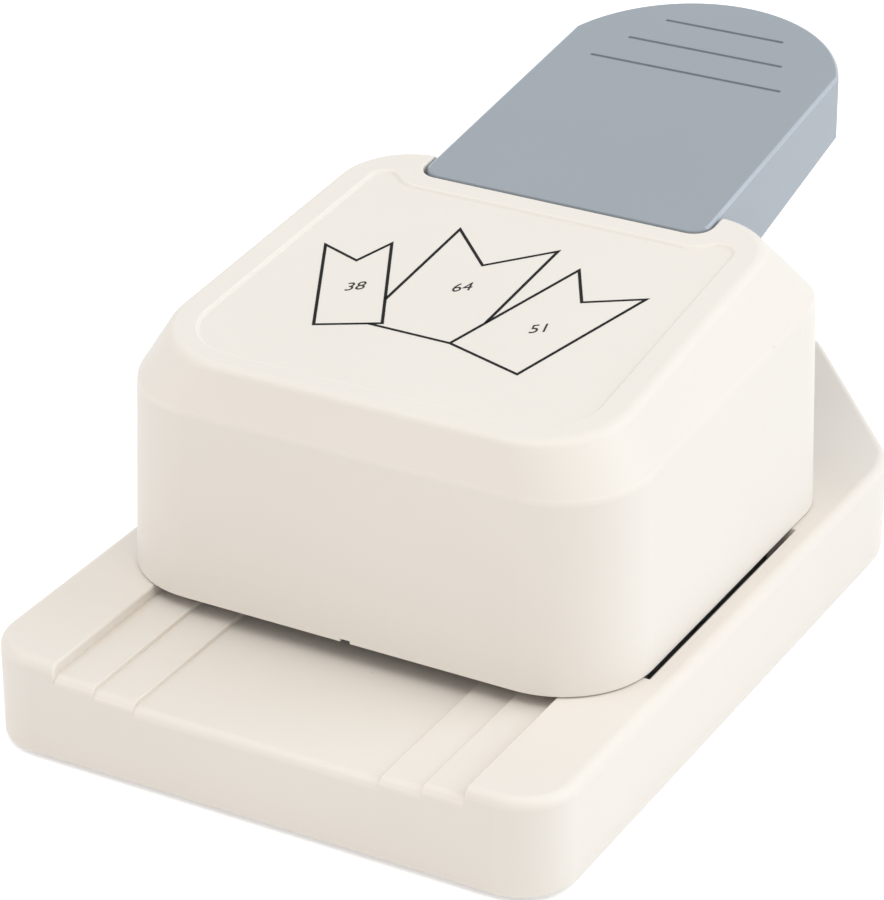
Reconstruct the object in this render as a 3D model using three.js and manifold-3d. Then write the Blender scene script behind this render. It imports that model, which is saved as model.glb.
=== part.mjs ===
// Label punch: a lever desk punch that cuts a swallowtail end on strips of paper or card.
// Lengths are millimetres. X runs across, Y from the paper side to the lever's tip, Z is up.
// Y is measured from the base's front face, and the whole machine is then centred on the origin.
import * as THREE from "three";
import { mergeVertices } from "three/addons/utils/BufferGeometryUtils.js";
import Module from "manifold-3d";

const wasm = await Module();
wasm.setup();

// Base moulding
const BASE_SIDE_MARGIN = 4.05;
const BASE_REAR_LENGTH = 51.4;
const BASE_HEIGHT = 15;
const BASE_WALL = 2.2;
const BASE_FRONT_RADIUS = 8;
const BASE_SIDE_RADIUS = 16;
const BASE_CUT_LENGTH = 39.7;
const REAR_CUT_DEGREES = 38.7;
const BASE_EDGE_FILLET = 1.5;
const DECK_THICKNESS = 2.3;

// Paper channel: three widths of strip, each a step lower than the last
const WIDE_STRIP = 63.5;
const MIDDLE_STRIP = 50.8;
const NARROW_STRIP = 38.1;
const RIM_STEP = 1.74;
const STRIP_STEP = 0.69;

// Bottom plate, feet, side pockets and the chute between die and outlet
const PLATE_THICKNESS = 2.4;
const PLATE_RECESS = 0.2;
const PLATE_GAP = 0.3;
const OUTLET_RADIUS = 5;
const FOOT_RADIUS = 6;
const FOOT_THICKNESS = 1.6;
const FOOT_PROUD = 0.8;
const FOOT_GAP = 0.1;
const FRONT_FOOT_INSET = 11.2;
const FRONT_FOOT_Y = 22;
const REAR_FOOT_INSET = 19.2;
const REAR_FOOT_REACH = 6.5;
const POCKET_START = 11.8;
const POCKET_LENGTH = 48;
const POCKET_FRONT_RAMP = 6;
const POCKET_REAR_RAMP = 4;
const POCKET_REACH = 0.9;
const CHUTE_WALL = 2.3;
const CHUTE_GAP = 0.2;
const LEDGE_WIDTH = 3.3;
const LEDGE_THICKNESS = 2.2;

// Die set
const DIE_SIDE = 5;
const DIE_INSET = 15.8;
const DIE_NOSE = 6;
const DIE_TAIL = 8;
const DIE_THICKNESS = 4;
const DIE_GAP = 0.3;
const SPACER_INSET = 0.5;
const SPACER_GAP = 0.4;
const GUIDE_INSET = 3.8;
const GUIDE_NOSE_INSET = 6.7;
const GUIDE_SHOULDER = 9.4;
const GUIDE_SHOULDER_SLOPE = 2.4;
const GUIDE_REAR_LAP = 2;
const GUIDE_THICKNESS = 4;

// Blade: a right-angled point towards the front, as wide as the widest strip
const BLADE_MARGIN = 0.25;
const BLADE_SHEAR = 1.6;
const BLADE_LIFT = 0.4;
const BLADE_CLEARANCE = 0.15;

// Ram
const RAM_SIDE = 1.5;
const RAM_NOSE_HALF_WIDTH = 12;
const RAM_SETBACK = 1;
const RAM_NOSE = 4;
const RAM_TAIL = 6;
const RAM_THICKNESS = 4;
const RAM_TRAVEL = 8;
const SPRING_SOLID = 6.5;
const POST_INSET = 5;
const POST_REACH = 12;
const POST_RADIUS = 2.5;
const POST_TOP = 2;
const POST_FIT = 0.05;
const BUSH_RADIUS = 4;
const BUSH_GAP = 0.1;
const CLIP_THICKNESS = 1;
const CLIP_LIFT = 0.2;
const CLIP_WIDTH = 1.5;
const CLIP_GAP = 0.1;
const GROOVE_DEPTH = 0.5;
const SPRING_RADIUS = 3.6;
const SPRING_WIRE = 0.8;
const SPRING_TURNS = 5.5;
const SPRING_SEAT = 0.3;

// Lever and its axle
const AXLE_INSET = 11.2;
const AXLE_RADIUS = 2.5;
const AXLE_FIT = 0.1;
const LEVER_SWING_DEGREES = 18;
const LEVER_TILT_DEGREES = 7.5;
const LEVER_BELLY_DEGREES = 11.5;
const LEVER_SHORTFALL = 0.2;
const LEVER_LIFT = 0.43;
const LEVER_TIP_DEPTH = 9.3;
const LEVER_SIDE_INSET = 16.75;
const LEVER_TAPER = 0.4;
const LEVER_END_BULGE = 0.6;
const LEVER_TOP_WALL = 2.4;
const LEVER_SIDE_WALL = 2.2;
const LEVER_STEP = 3.6;
const LEVER_NOTCH_GAP = 0.5;
const LEVER_BELLY_RISE = 9.55;
const LEVER_WAIST_Y = 58;
const LEVER_WAIST_DROP = 3.1;
const LEVER_WEB_FRONT = 46;
const EYE_RADIUS = 5.5;
const EYE_WIDTH = 4.8;
const GRIP_SPACING = 7.05;
const GRIP_SETBACK = 8.65;
const GRIP_LAST_HALF = 10.05;
const GRIP_GROWTH = 3;
const GRIP_WIDTH = 1;
const GRIP_DEPTH = 0.5;
const GRIP_COUNT = 3;

// Roller
const ROLLER_RADIUS = 4;
const ROLLER_WIDTH = 13.4;
const ROLLER_GAP = 0.15;
const PIN_RADIUS = 1.5;
const PIN_OVERHANG = 0.6;
const LUG_GAP = 0.3;
const LUG_WIDTH = 3;
const LUG_RADIUS = 3.6;

// Axle brackets
const BRACKET_GAP = 0.8;
const BRACKET_THICKNESS = 3;
const BRACKET_FOOT_WIDTH = 11;
const BRACKET_FOOT_THICKNESS = 2.4;
const BRACKET_LENGTH = 11.8;
const BRACKET_HEAD_RADIUS = 5;

// Head moulding
const HEAD_SIDE_GAP = 1.65;
const HEAD_FRONT = 24.2;
const HEAD_TAIL = 13.8;
const HEAD_FRONT_RADIUS = 14;
const HEAD_REAR_RADIUS = 11;
const HEAD_DRAFT = 1;
const HEAD_WALL = 2;
const HEAD_SEAM = 0.2;
const SHOULDER_DROP = 7.2;
const SHOULDER_DEGREES = 3.4;
const SHOULDER_FILLET = 1;
const TOP_LIFT = 5.35;
const TOP_DEGREES = 5.5;
const TOP_SETBACK = 3.2;
const TOP_REAR_SETBACK = 7.2;
const TOP_FRONT_INSET = 5.25;
const TOP_REAR_INSET = 6.55;
const TOP_FRONT_RADIUS = 13;
const TOP_REAR_RADIUS = 10.7;
const TOP_FILLET = 1.2;
const NOTCH_FRONT = 59.3;
const NOTCH_SIDE_GAP = 0.2;
const NOTCH_RADIUS = 3;
const SILL_HEIGHT = 23;
const PANEL_DEPTH = 0.4;
const PANEL_MARGIN = 4;
const PANEL_FRONT_MARGIN = 3.5;
const PANEL_FRONT_RADIUS = 9;
const PANEL_REAR_MARGIN = 3.4;
const PANEL_EAR = 3;
const PANEL_EAR_WIDTH = 8;
const PANEL_EAR_DIP = 1;
const PANEL_EAR_REACH = 2;
const CENTRE_MARK_WIDTH = 1.6;
const CENTRE_MARK_HEIGHT = 0.8;

// Screws
const SCREW_RADIUS = 1.5;
const HEAD_SCREW_INSET = 5.95;
const HEAD_SCREW_FRONT_INSET = 9;
const HEAD_SCREW_REAR_INSET = 6.8;
const HEAD_SCREW_BITE = 14;
const HEAD_BOSS_RADIUS = 3.4;
const HEAD_BOSS_HEIGHT = 16.4;
const HEAD_SCREW_POST = 4.6;
const BOTTOM_SCREW_FRONT_INSET = 8.2;
const BOTTOM_SCREW_FRONT_Y = 9;
const BOTTOM_SCREW_REAR_INSET = 22.2;
const BOTTOM_SCREW_REACH = 18.5;
const BOTTOM_SCREW_BITE = 5;
const POST_WALL = 2.3;
const SINK_DEPTH = 1.5;
const SMALL_SCREW_RADIUS = 1.25;
const DIE_SCREW_SIDE = 3;
const DIE_SCREW_INSET = 4;
const BRACKET_SCREW_INSET = 3;
const BRACKET_SCREW_SIDE = 6.8;
const BLADE_SCREW_INSET = 16;
const BLADE_SCREW_REACH = 25;
const BLADE_SCREW_BITE = 6;
const SCREW_HEAD_SHARE = 1.85;
const SCREW_HEAD_HEIGHT = 1.6;
const SCREW_FIT = 0.1;
const SCREW_SEAT = 0.05;
const CROSS_WIDTH = 0.5;
const CROSS_DEPTH = 0.7;

// Shared by every cut, and the fineness of round stretches
const OVERRUN = 2;
const FAR = 200;
const EDGE_STEPS = 3;
const RING_MOUTH_SHARE = 0.8;
const HOLLOW_SHOULDER_SHARE = 0.3;
const HOLLOW_EDGE_SHARE = 0.6;
const MERGE_TOLERANCE = 0.001;
const CORNER_STEPS = 8;
const REAR_STEPS = 20;
const ROUND_SIDES = 24;
const SMALL_SIDES = 16;
const COIL_STEPS = 8;
const GAP_POINTS_PER_TURN = 32;
const WIRE_SIDES = 5;

const radians = THREE.MathUtils.degToRad;
const RIGHT_ANGLE = Math.PI / 2;

// Levels, from the table upwards
const standLevel = FOOT_PROUD;
const rimLevel = standLevel + BASE_HEIGHT;
const wideLevel = rimLevel - RIM_STEP;
const middleLevel = wideLevel - STRIP_STEP;
const narrowLevel = middleLevel - STRIP_STEP;
const deckUnderside = narrowLevel - DECK_THICKNESS;
const plateUnderside = standLevel + PLATE_RECESS;
const plateTop = plateUnderside + PLATE_THICKNESS;
const chuteBottom = plateTop + CHUTE_GAP;
const dieUnderside = narrowLevel - DIE_THICKNESS;
const ledgeTop = dieUnderside - DIE_GAP;
const ledgeUnderside = ledgeTop - LEDGE_THICKNESS;
const guideTop = rimLevel + GUIDE_THICKNESS;
const ramUnderside = guideTop + RAM_TRAVEL + SPRING_SOLID;
const ramTop = ramUnderside + RAM_THICKNESS;
const bladeTip = rimLevel + BLADE_LIFT;
const headBottom = rimLevel + HEAD_SEAM;

// Distances across, from the middle outwards: blade, die set, head, base
const bladeHalfWidth = WIDE_STRIP / 2 + BLADE_MARGIN;
const dieHalfWidth = bladeHalfWidth + DIE_SIDE;
const spacerHalfWidth = dieHalfWidth - SPACER_INSET;
const guideNoseHalfWidth = spacerHalfWidth - GUIDE_NOSE_INSET;
const ramHalfWidth = bladeHalfWidth + RAM_SIDE;
const headHalfWidth = spacerHalfWidth + HEAD_SIDE_GAP + HEAD_WALL;
const baseHalfWidth = headHalfWidth + BASE_SIDE_MARGIN;
const dieScrewX = dieHalfWidth - DIE_SCREW_SIDE;
const postX = ramHalfWidth - POST_INSET;
const headScrewX = headHalfWidth - HEAD_SCREW_INSET;
const bladeScrewX = bladeHalfWidth - BLADE_SCREW_INSET;
const leverFrontHalf = headHalfWidth - LEVER_SIDE_INSET;
const leverRearHalf = leverFrontHalf - LEVER_TAPER;
const notchWidth = 2 * (leverFrontHalf + NOTCH_SIDE_GAP);
const bracketInner = leverFrontHalf + BRACKET_GAP;
const bracketOuter = bracketInner + BRACKET_THICKNESS;
const bracketScrewX = bracketInner - BRACKET_SCREW_SIDE;

// Places along Y, from the front face
const axleY = HEAD_FRONT + AXLE_INSET;
const dieFront = HEAD_FRONT + DIE_INSET;
const guideFront = HEAD_FRONT + GUIDE_INSET;
const bladeApex = dieFront + DIE_NOSE;
const bladeRear = bladeApex + bladeHalfWidth;
const bladeScrewY = bladeApex + BLADE_SCREW_REACH;
const postY = bladeApex + POST_REACH;
const ramFront = bladeApex + RAM_SETBACK;
const ramRear = bladeRear + RAM_TAIL;
const dieRear = bladeRear + DIE_TAIL;
const guideRear = dieRear + GUIDE_REAR_LAP;
const headRear = dieRear + HEAD_TAIL;
const headScrewFrontY = HEAD_FRONT + HEAD_SCREW_FRONT_INSET;
const headScrewRearY = headRear - HEAD_SCREW_REAR_INSET;
const topFront = HEAD_FRONT + TOP_SETBACK;
const topRear = headRear - TOP_REAR_SETBACK;
const baseLength = headRear + BASE_REAR_LENGTH;
const cutStart = baseLength - BASE_CUT_LENGTH;
const leverTip = baseLength - LEVER_SHORTFALL;
const notchEdge = topFront + NOTCH_FRONT * Math.cos(radians(TOP_DEGREES));
const handleFront = notchEdge + LEVER_NOTCH_GAP;

// The roller starts half the swing above the axle and ends half the swing below it,
// so the ram's travel is almost exactly in proportion to the lever's angle.
const halfSwing = radians(LEVER_SWING_DEGREES / 2);
const pressArm = RAM_TRAVEL / (2 * Math.sin(halfSwing));
const rollerY = axleY + pressArm * Math.cos(halfSwing);
const rollerLevel = ramTop + ROLLER_GAP + ROLLER_RADIUS;
const axleLevel = rollerLevel - pressArm * Math.sin(halfSwing);

// Levels of the head's top and shoulder and of the lever, which all clear the roller
const topLevel = rollerLevel + ROLLER_RADIUS + TOP_LIFT;
const shoulderLevel = topLevel - SHOULDER_DROP;
const leverFrontLevel = headTopAt(notchEdge) + LEVER_LIFT;
const leverTipLevel = leverTopAt(leverTip);
const leverTipBottom = leverTipLevel - LEVER_TIP_DEPTH;
const bellyLevel = leverTipBottom - LEVER_BELLY_RISE;
const waistLevel = bellyLevel - LEVER_WAIST_DROP;

// Finishes
function finish(color, roughness, metalness) {
  return new THREE.MeshStandardMaterial({ color, roughness, metalness });
}

const creamPlastic = () => finish(0xece5da, 0.5, 0);
const bluePlastic = () => finish(0x9aa4af, 0.42, 0);
const darkPlastic = () => finish(0x3b3d40, 0.6, 0);
const rubber = () => finish(0x55565a, 0.9, 0);
const groundSteel = () => finish(0xb9bcc0, 0.3, 0.9);
const blackSteel = () => finish(0x4a4c50, 0.45, 0.8);
const zincSteel = () => finish(0xc4c7c9, 0.35, 0.85);
const springSteel = () => finish(0x9d9fa3, 0.35, 0.9);
const bronze = () => finish(0xb08a4e, 0.4, 0.85);

// Closed geometry to solid and back
function toSolid(geometry) {
  const bare = geometry.index ? geometry.toNonIndexed() : geometry.clone();
  bare.deleteAttribute("normal");
  bare.deleteAttribute("uv");
  const merged = mergeVertices(bare, MERGE_TOLERANCE);
  const vertProperties = merged.attributes.position.array;
  const triVerts = new Uint32Array(merged.index.array);
  return new wasm.Manifold(new wasm.Mesh({ numProp: 3, vertProperties, triVerts }));
}

function toGeometry(solid) {
  const data = solid.getMesh();
  const geometry = new THREE.BufferGeometry();
  geometry.setAttribute("position", new THREE.BufferAttribute(data.vertProperties, 3));
  geometry.setIndex(new THREE.BufferAttribute(data.triVerts, 1));
  geometry.computeVertexNormals();
  return geometry;
}

function join(solids) {
  return solids.reduce((whole, solid) => whole.add(solid));
}

function cut(solid, tools) {
  return tools.reduce((left, tool) => left.subtract(tool), solid);
}

function extrude(points, depth) {
  return new THREE.ExtrudeGeometry(new THREE.Shape(points), { depth, bevelEnabled: false });
}

// Prisms of an outline: pointing up, across or along
function prismZ(points, low, high) {
  return toSolid(extrude(points, high - low).translate(0, 0, low));
}

function prismX(points, low, high) {
  const geometry = extrude(points, high - low).translate(0, 0, low);
  const across = new THREE.Vector3(1, 0, 0);
  const along = new THREE.Vector3(0, 1, 0);
  const up = new THREE.Vector3(0, 0, 1);
  return toSolid(geometry.applyMatrix4(new THREE.Matrix4().makeBasis(along, up, across)));
}

function prismY(points, low, high) {
  return toSolid(extrude(points, high - low).rotateX(RIGHT_ANGLE).translate(0, high, 0));
}

function block(size, centre) {
  return toSolid(new THREE.BoxGeometry(size.x, size.y, size.z).translate(centre.x, centre.y, centre.z));
}

// A box given by its half width and its limits along Y and Z
function slab(halfWidth, front, rear, low, high) {
  const size = { x: 2 * halfWidth, y: rear - front, z: high - low };
  return block(size, { x: 0, y: (front + rear) / 2, z: (low + high) / 2 });
}

function rodZ(radius, low, high, x, y, sides = ROUND_SIDES) {
  const geometry = new THREE.CylinderGeometry(radius, radius, high - low, sides).rotateX(RIGHT_ANGLE);
  return toSolid(geometry.translate(x, y, (low + high) / 2));
}

function rodX(radius, left, right, y, z, sides = ROUND_SIDES) {
  const geometry = new THREE.CylinderGeometry(radius, radius, right - left, sides).rotateZ(RIGHT_ANGLE);
  return toSolid(geometry.translate((left + right) / 2, y, z));
}

function point(x, y) {
  return new THREE.Vector2(x, y);
}

// An outline of arcs joined by straight lines, anticlockwise, moved inwards by an inset
function arcOutline(arcs, inset = 0) {
  const points = [];
  for (const arc of arcs) {
    const radius = arc.radius - inset;
    for (let i = 0; i <= arc.steps; i += 1) {
      const angle = arc.from + ((arc.to - arc.from) * i) / arc.steps;
      points.push(point(arc.x + radius * Math.cos(angle), arc.y + radius * Math.sin(angle)));
    }
  }
  return points;
}

// Four rounded corners, where front and rear may differ in width and radius
function cornerArcs(front, rear) {
  const steps = CORNER_STEPS;
  const frontX = front.width / 2 - front.radius;
  const rearX = rear.width / 2 - rear.radius;
  const frontY = front.y + front.radius;
  const rearY = rear.y - rear.radius;
  return [
    { x: frontX, y: frontY, radius: front.radius, from: -RIGHT_ANGLE, to: 0, steps },
    { x: rearX, y: rearY, radius: rear.radius, from: 0, to: RIGHT_ANGLE, steps },
    { x: -rearX, y: rearY, radius: rear.radius, from: RIGHT_ANGLE, to: 2 * RIGHT_ANGLE, steps },
    { x: -frontX, y: frontY, radius: front.radius, from: 2 * RIGHT_ANGLE, to: 3 * RIGHT_ANGLE, steps },
  ];
}

// The closed solid between rings of equal count, with the first and last ring capped
function loft(rings) {
  const count = rings[0].length;
  const positions = rings.flat().flatMap((p) => [p.x, p.y, p.z]);
  const index = [];
  for (let k = 0; k + 1 < rings.length; k += 1) {
    for (let i = 0; i < count; i += 1) {
      const a = k * count + i;
      const b = k * count + ((i + 1) % count);
      index.push(a, b, b + count, a, b + count, a + count);
    }
  }
  const capOf = (ring) => THREE.ShapeUtils.triangulateShape(ring.map((p) => point(p.x, p.y)), []);
  const last = (rings.length - 1) * count;
  capOf(rings[0]).forEach(([a, b, c]) => index.push(a, c, b));
  capOf(rings[rings.length - 1]).forEach(([a, b, c]) => index.push(last + a, last + b, last + c));
  const geometry = new THREE.BufferGeometry();
  geometry.setAttribute("position", new THREE.Float32BufferAttribute(positions, 3));
  geometry.setIndex(index);
  return toSolid(geometry);
}

function raise(outline, heightAt) {
  return outline.map((p) => new THREE.Vector3(p.x, p.y, heightAt(p.y)));
}

// Rings that round the corner b between the faces towards a and towards c
function roundRings(a, b, c, reach, steps) {
  const rings = [];
  for (let s = 0; s <= steps; s += 1) {
    const t = s / steps;
    rings.push(
      b.map((corner, i) => {
        const start = corner.clone().add(a[i].clone().sub(corner).setLength(reach));
        const end = corner.clone().add(c[i].clone().sub(corner).setLength(reach));
        return start.lerp(corner, t).lerp(corner.clone().lerp(end, t), t);
      }),
    );
  }
  return rings;
}

function node(name, solid, material) {
  const mesh = new THREE.Mesh(toGeometry(solid), material);
  mesh.name = name;
  return mesh;
}

// The base's plan: rounded front corners, rear corners cut at an angle, round rear end
function baseArcs() {
  const half = baseHalfWidth;
  const cutAngle = radians(REAR_CUT_DEGREES);
  const sideY = cutStart - BASE_SIDE_RADIUS * Math.tan(cutAngle / 2);
  const rearCorner = half - BASE_CUT_LENGTH * Math.tan(cutAngle);
  const rearRadius = rearCorner / Math.tan((RIGHT_ANGLE - cutAngle) / 2);
  const frontX = half - BASE_FRONT_RADIUS;
  const sideX = half - BASE_SIDE_RADIUS;
  const front = { y: BASE_FRONT_RADIUS, radius: BASE_FRONT_RADIUS, steps: CORNER_STEPS };
  const side = { y: sideY, radius: BASE_SIDE_RADIUS, steps: CORNER_STEPS };
  const rear = { x: 0, y: baseLength - rearRadius, radius: rearRadius, steps: REAR_STEPS };
  const straight = 2 * RIGHT_ANGLE;
  return [
    { ...front, x: frontX, from: -RIGHT_ANGLE, to: 0 },
    { ...side, x: sideX, from: 0, to: cutAngle },
    { ...rear, from: cutAngle, to: straight - cutAngle },
    { ...side, x: -sideX, from: straight - cutAngle, to: straight },
    { ...front, x: -frontX, from: straight, to: straight + RIGHT_ANGLE },
  ];
}

// Where screws go
const headScrewPlaces = [
  [-headScrewX, headScrewFrontY],
  [headScrewX, headScrewFrontY],
  [headScrewX, headScrewRearY],
  [-headScrewX, headScrewRearY],
];
const bottomScrewFrontX = baseHalfWidth - BOTTOM_SCREW_FRONT_INSET;
const bottomScrewRearX = baseHalfWidth - BOTTOM_SCREW_REAR_INSET;
const bottomScrewRearY = cutStart + BOTTOM_SCREW_REACH;
const bottomScrewPlaces = [
  [-bottomScrewFrontX, BOTTOM_SCREW_FRONT_Y],
  [bottomScrewFrontX, BOTTOM_SCREW_FRONT_Y],
  [bottomScrewRearX, bottomScrewRearY],
  [-bottomScrewRearX, bottomScrewRearY],
];
const dieScrewPlaces = [
  [-dieScrewX, dieFront + DIE_SCREW_INSET],
  [dieScrewX, dieFront + DIE_SCREW_INSET],
  [dieScrewX, dieRear - DIE_SCREW_INSET],
  [-dieScrewX, dieRear - DIE_SCREW_INSET],
];
const bracketHalf = BRACKET_LENGTH / 2;
const bracketScrewReach = bracketHalf - BRACKET_SCREW_INSET;
const bracketScrewPlaces = [
  [-bracketScrewX, axleY - bracketScrewReach],
  [bracketScrewX, axleY - bracketScrewReach],
  [bracketScrewX, axleY + bracketScrewReach],
  [-bracketScrewX, axleY + bracketScrewReach],
];
const bladeScrewPlaces = [
  [-bladeScrewX, bladeScrewY],
  [bladeScrewX, bladeScrewY],
];
const frontFootX = baseHalfWidth - FRONT_FOOT_INSET;
const rearFootX = baseHalfWidth - REAR_FOOT_INSET;
const rearFootY = cutStart + REAR_FOOT_REACH;
const footPlaces = [
  [-frontFootX, FRONT_FOOT_Y],
  [frontFootX, FRONT_FOOT_Y],
  [rearFootX, rearFootY],
  [-rearFootX, rearFootY],
];
const postPlaces = [
  [-postX, postY],
  [postX, postY],
];
const headPostBottom = deckUnderside - HEAD_SCREW_POST;

// Holes at a list of places, between two levels
function holes(places, radius, low, high, sides = SMALL_SIDES) {
  return places.map(([x, y]) => rodZ(radius, low, high, x, y, sides));
}

function pegs(places, radius, low, high) {
  return holes(places, radius, low, high, ROUND_SIDES);
}

// The blade's plan, or its window when grown by a clearance
function bladeOutline(grow) {
  const apex = bladeApex - grow * Math.SQRT2;
  const rear = bladeRear + grow;
  const half = rear - apex;
  return [point(0, apex), point(half, rear), point(-half, rear)];
}

// A pocket in the rim along one side wall's foot, open under the wall into the die's window
function sidePocket(side) {
  const start = HEAD_FRONT + POCKET_START;
  const end = start + POCKET_LENGTH;
  const outline = [
    point(start, rimLevel),
    point(start + POCKET_FRONT_RAMP, narrowLevel),
    point(end - POCKET_REAR_RAMP, narrowLevel),
    point(end, rimLevel),
    point(end, rimLevel + OVERRUN),
    point(start, rimLevel + OVERRUN),
  ];
  const outer = headHalfWidth + POCKET_REACH;
  return side > 0 ? prismX(outline, dieHalfWidth, outer) : prismX(outline, -outer, -dieHalfWidth);
}

function baseShell() {
  const arcs = baseArcs();
  const flat = (inset, level) => raise(arcOutline(arcs, inset), () => level);
  const wallFoot = flat(0, standLevel);
  const edge = flat(0, rimLevel);
  const inner = flat(BASE_EDGE_FILLET * 2, rimLevel);
  const outer = loft([wallFoot, ...roundRings(wallFoot, edge, inner, BASE_EDGE_FILLET, EDGE_STEPS)]);
  const hollow = loft([flat(BASE_WALL, standLevel - OVERRUN), flat(BASE_WALL, deckUnderside)]);
  const chuteHalf = dieHalfWidth + DIE_GAP;
  const chuteFront = dieFront - DIE_GAP;
  const chuteRear = dieRear + DIE_GAP;
  const chute = slab(
    chuteHalf + CHUTE_WALL,
    chuteFront - CHUTE_WALL,
    chuteRear + CHUTE_WALL,
    chuteBottom,
    deckUnderside + DECK_THICKNESS / 2,
  );
  const window = slab(chuteHalf, chuteFront, chuteRear, ledgeTop, rimLevel + OVERRUN);
  const throat = slab(
    chuteHalf - LEDGE_WIDTH,
    chuteFront + LEDGE_WIDTH,
    chuteRear - LEDGE_WIDTH,
    ledgeUnderside - OVERRUN,
    ledgeTop + OVERRUN,
  );
  const below = slab(chuteHalf, chuteFront, chuteRear, chuteBottom - OVERRUN, ledgeUnderside);
  const channel = [
    slab(WIDE_STRIP / 2, -OVERRUN, dieFront, wideLevel, rimLevel + OVERRUN),
    slab(MIDDLE_STRIP / 2, -OVERRUN, dieFront, middleLevel, rimLevel + OVERRUN),
    slab(NARROW_STRIP / 2, -OVERRUN, dieFront, narrowLevel, rimLevel + OVERRUN),
  ];
  const deckMiddle = deckUnderside + DECK_THICKNESS / 2;
  const headPosts = pegs(headScrewPlaces, SCREW_RADIUS + POST_WALL, headPostBottom, deckMiddle);
  const bottomPosts = pegs(bottomScrewPlaces, SMALL_SCREW_RADIUS + POST_WALL, chuteBottom, deckMiddle);
  const body = join([cut(outer, [hollow]), chute, ...headPosts, ...bottomPosts]);
  return cut(body, [
    window,
    throat,
    below,
    ...channel,
    sidePocket(-1),
    sidePocket(1),
    ...holes(headScrewPlaces, SCREW_RADIUS + SCREW_FIT, headPostBottom - OVERRUN, rimLevel + OVERRUN),
    ...holes(bottomScrewPlaces, SMALL_SCREW_RADIUS + SCREW_FIT, chuteBottom - OVERRUN, deckUnderside),
  ]);
}

function bottomPlate() {
  const outline = arcOutline(baseArcs(), BASE_WALL + PLATE_GAP);
  const plate = prismZ(outline, plateUnderside, plateTop);
  const width = 2 * (dieHalfWidth + DIE_GAP - LEDGE_WIDTH);
  const front = { y: dieFront - DIE_GAP + LEDGE_WIDTH, width, radius: OUTLET_RADIUS };
  const rear = { y: dieRear + DIE_GAP - LEDGE_WIDTH, width, radius: OUTLET_RADIUS };
  const outlet = arcOutline(cornerArcs(front, rear));
  const footPocket = FOOT_THICKNESS + FOOT_GAP;
  const shankHole = SMALL_SCREW_RADIUS + SCREW_FIT;
  const headHole = SMALL_SCREW_RADIUS * SCREW_HEAD_SHARE + SCREW_FIT;
  const below = plateUnderside - OVERRUN;
  const above = plateTop + OVERRUN;
  return cut(plate, [
    prismZ(outlet, below, above),
    ...pegs(footPlaces, FOOT_RADIUS + FOOT_GAP, below, footPocket),
    ...holes(bottomScrewPlaces, shankHole, below, above),
    ...pegs(bottomScrewPlaces, headHole, below, plateUnderside + SINK_DEPTH),
  ]);
}

function foot() {
  return rodZ(FOOT_RADIUS, 0, FOOT_THICKNESS, 0, 0);
}

// A cross-head screw standing on its head's flat side, with its shank pointing down
function screw(radius, length) {
  const headRadius = radius * SCREW_HEAD_SHARE;
  const head = rodZ(headRadius, 0, SCREW_HEAD_HEIGHT, 0, 0);
  const shank = rodZ(radius, -length, SCREW_HEAD_HEIGHT / 2, 0, 0, SMALL_SIDES);
  const long = { x: 2 * radius, y: CROSS_WIDTH, z: 2 * CROSS_DEPTH };
  const wide = { x: CROSS_WIDTH, y: 2 * radius, z: 2 * CROSS_DEPTH };
  const middle = { x: 0, y: 0, z: SCREW_HEAD_HEIGHT };
  return cut(join([head, shank]), [block(long, middle), block(wide, middle)]);
}

// Screws put in from above, at a seat level, or from below when turned over
function screwSet(name, places, radius, length, seat, fromBelow = false) {
  return places.map(([x, y], i) => {
    const mesh = node(name + "_" + (i + 1), screw(radius, length), zincSteel());
    mesh.position.set(x, y, fromBelow ? seat - SCREW_SEAT : seat + SCREW_SEAT);
    mesh.rotation.x = fromBelow ? Math.PI : 0;
    return mesh;
  });
}

function diePlate() {
  const plate = slab(dieHalfWidth, dieFront, dieRear, dieUnderside, narrowLevel);
  return cut(plate, [
    prismZ(bladeOutline(BLADE_CLEARANCE), dieUnderside - OVERRUN, narrowLevel + OVERRUN),
    ...holes(dieScrewPlaces, SMALL_SCREW_RADIUS + POST_FIT, dieUnderside - OVERRUN, narrowLevel + OVERRUN),
  ]);
}

function spacerFrame() {
  const frame = slab(spacerHalfWidth, dieFront, dieRear, narrowLevel, rimLevel);
  const path = slab(
    bladeHalfWidth + SPACER_GAP,
    dieFront - OVERRUN,
    bladeRear + SPACER_GAP,
    narrowLevel - OVERRUN,
    rimLevel + OVERRUN,
  );
  const boreRadius = SMALL_SCREW_RADIUS + SCREW_FIT;
  const bores = holes(dieScrewPlaces, boreRadius, narrowLevel - OVERRUN, rimLevel + OVERRUN);
  return cut(frame, [path, ...bores]);
}

function guidePlate() {
  const nose = guideFront + GUIDE_SHOULDER;
  const shoulder = nose + GUIDE_SHOULDER_SLOPE;
  const outline = [
    point(-guideNoseHalfWidth, guideFront),
    point(guideNoseHalfWidth, guideFront),
    point(guideNoseHalfWidth, nose),
    point(spacerHalfWidth, shoulder),
    point(spacerHalfWidth, guideRear),
    point(-spacerHalfWidth, guideRear),
    point(-spacerHalfWidth, shoulder),
    point(-guideNoseHalfWidth, nose),
  ];
  const low = rimLevel - OVERRUN;
  const high = guideTop + OVERRUN;
  return cut(prismZ(outline, rimLevel, guideTop), [
    prismZ(bladeOutline(BLADE_CLEARANCE), low, high),
    ...holes(dieScrewPlaces, SMALL_SCREW_RADIUS + SCREW_FIT, low, high),
    ...holes(bracketScrewPlaces, SMALL_SCREW_RADIUS + POST_FIT, low, high),
    ...pegs(postPlaces, POST_RADIUS + POST_FIT, low, high),
  ]);
}

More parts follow.
